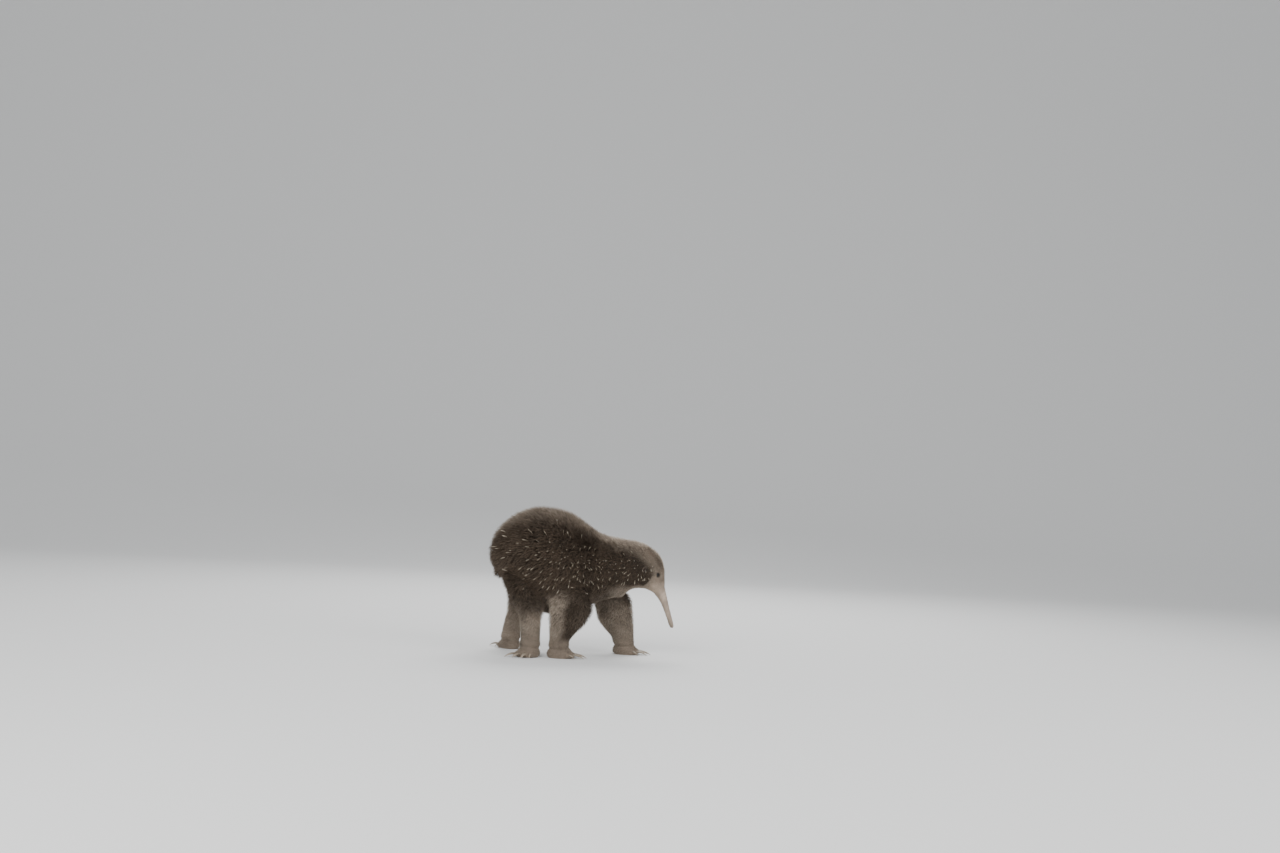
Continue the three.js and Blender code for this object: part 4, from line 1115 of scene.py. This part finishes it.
for name in LEG_COLUMNS:
    x, out, _ = FOOT_PLACES[name]
    foot = Vector((x, LEG_SIDE[name] * out, 0))
    for number, (turn, reach, claw) in enumerate(toes_of(name), 1):
        start = foot + heading(name, turn) * (reach + TOE_SIZE[0] - CLAW_ROOT)
        way = heading(name, turn * CLAW_SPLAY)
        length = claw + CLAW_ROOT
        small = SMALL_CLAW if claw < SMALL_BELOW else 1.0
        side = Vector((0, 0, 1)).cross(way)
        bm = bmesh.new()
        layer = bm.verts.layers.float_color.new("horn")
        ball = bmesh.ops.create_uvsphere(bm, u_segments=CLAW_NET[0], v_segments=CLAW_NET[1], radius=1)
        for v in ball["verts"]:
            share = math.acos(max(-1, min(1, v.co.z))) / math.pi
            angle = math.atan2(v.co.y, v.co.x)
            before = claw_middle(start, way, length, max(0, share - STEP))
            along = (claw_middle(start, way, length, min(1, share + STEP)) - before).normalized()
            lift = along.cross(side).normalized() * -1
            blunt = max(0, 1 - share**TIP_POWER) ** TIP_TAPER
            thick = small * min(1, (share * ROOT_SWELL) ** 0.5) * blunt
            across = CLAW_HALF_WIDTH * thick * math.cos(angle)
            above = CLAW_HALF_THICKNESS * thick * math.sin(angle)
            if above < 0:
                above *= UNDERSIDE
            place = claw_middle(start, way, length, share) + side * across + lift * above
            place.z = max(place.z, LOWEST_CLAW)
            v.co = place * MM + Vector(SHIFT)
            tone = TONE_AT_ROOT + TONE_RISE * share
            v[layer] = (*(colour * tone for colour in CLAW_TONE), 1)
        bmesh.ops.recalc_face_normals(bm, faces=bm.faces)
        finished(f"{name}_digger_{number}", bm, claw_horn, "claw_horn", f"{name}_claw_{number}")

# Floor and backdrop
# One pale matt sheet, level under the model and swept up behind it.
SHEET_HALF = 9
SHEET_EDGE = 8.9
WALL_HIGH = 5
BEND, BEND_STEPS = 2.5, 16
SHEET_FORWARD = -4
bm = bmesh.new()
bmesh.ops.create_grid(bm, x_segments=1, y_segments=1, size=SHEET_HALF)
rear = [e for e in bm.edges if all(v.co.y > SHEET_EDGE for v in e.verts)]
wall = bmesh.ops.extrude_edge_only(bm, edges=rear)["geom"]
risen = [part for part in wall if isinstance(part, bmesh.types.BMVert)]
bmesh.ops.translate(bm, verts=risen, vec=(0, 0, WALL_HIGH))
bend = [e for e in bm.edges if all(v.co.y > SHEET_EDGE and v.co.z < 0.1 for v in e.verts)]
bmesh.ops.bevel(bm, geom=bend, offset=BEND, segments=BEND_STEPS, profile=0.5, affect="EDGES", material=-1)
bmesh.ops.translate(bm, verts=bm.verts, vec=(0, SHEET_FORWARD, 0))
shade_smooth(bm)
sheet_mesh = bpy.data.meshes.new("floor")
bm.to_mesh(sheet_mesh)
bm.free()
floor = bpy.data.objects.new("floor", sheet_mesh)
to_scene(floor)
floor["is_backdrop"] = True
pale_paper, shader = material_of("pale_paper", 0.9, 0.5)
shader.inputs["Base Color"].default_value = (0.72, 0.72, 0.71, 1)
sheet_mesh.materials.append(pale_paper)

# Light
# A broad soft light near the camera, a weaker one from the other side, and one from above and behind.
AIM = Vector((0, 0, 0.14))
LIGHTS = (
    ("key", (-0.9, -2.4, 1.7), 1.6, 66),
    ("fill", (1.9, -1.6, 1.1), 1.8, 30),
    ("rim", (0.2, 1.5, 1.9), 1.4, 44),
)
for name, place, size, power in LIGHTS:
    lamp = bpy.data.lights.new(name, "AREA")
    lamp.size = size
    lamp.energy = power
    holder = bpy.data.objects.new(name, lamp)
    holder.location = place
    holder.rotation_euler = (AIM - Vector(place)).to_track_quat("-Z", "Y").to_euler()
    to_scene(holder)
world = bpy.data.worlds.new("studio")
world.use_nodes = True
world.node_tree.nodes["Background"].inputs["Color"].default_value = (0.95, 0.97, 1.0, 1)
world.node_tree.nodes["Background"].inputs["Strength"].default_value = 0.7
bpy.context.scene.world = world

# Camera
# Low and about two and a half metres off the animal's right side, the animal left of the middle and below
# it. The picture is rolled a little, as the ground there falls away towards the head.
FOCAL_PIXELS = 1372
SENSOR = 36
PICTURE = (1280, 853)
GROUND_PIXEL = (577, 655)  # where the model's origin on the floor falls in the picture
ELEVATION = 6.5
ROLL = -3.0
DISTANCE = 2.49
ray = Vector((
    (GROUND_PIXEL[0] - PICTURE[0] / 2) / FOCAL_PIXELS, -(GROUND_PIXEL[1] - PICTURE[1] / 2) / FOCAL_PIXELS, -1
)).normalized()
looking = Vector((0, math.cos(math.radians(ELEVATION)), -math.sin(math.radians(ELEVATION))))
# turned step by step until the model's origin falls on its pixel
pitch, yaw = 3.0, -2.0
for _ in range(30):
    turn = (
        Matrix.Rotation(math.radians(yaw), 3, "Z")
        @ Matrix.Rotation(math.radians(90 + pitch), 3, "X")
        @ Matrix.Rotation(math.radians(-ROLL), 3, "Z")
    )
    seen = turn @ ray
    pitch += math.degrees(math.asin(looking.z) - math.asin(seen.z))
    yaw += math.degrees(math.atan2(seen.x, seen.y))
camera_data = bpy.data.cameras.new("camera")
camera_data.sensor_width = SENSOR
camera_data.lens = SENSOR * FOCAL_PIXELS / PICTURE[0]
camera_data.clip_end = 50
camera = bpy.data.objects.new("camera", camera_data)
camera.location = Vector(SHIFT) - looking * DISTANCE
camera.rotation_euler = turn.to_euler()
to_scene(camera)
bpy.context.scene.camera = camera

low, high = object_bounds()
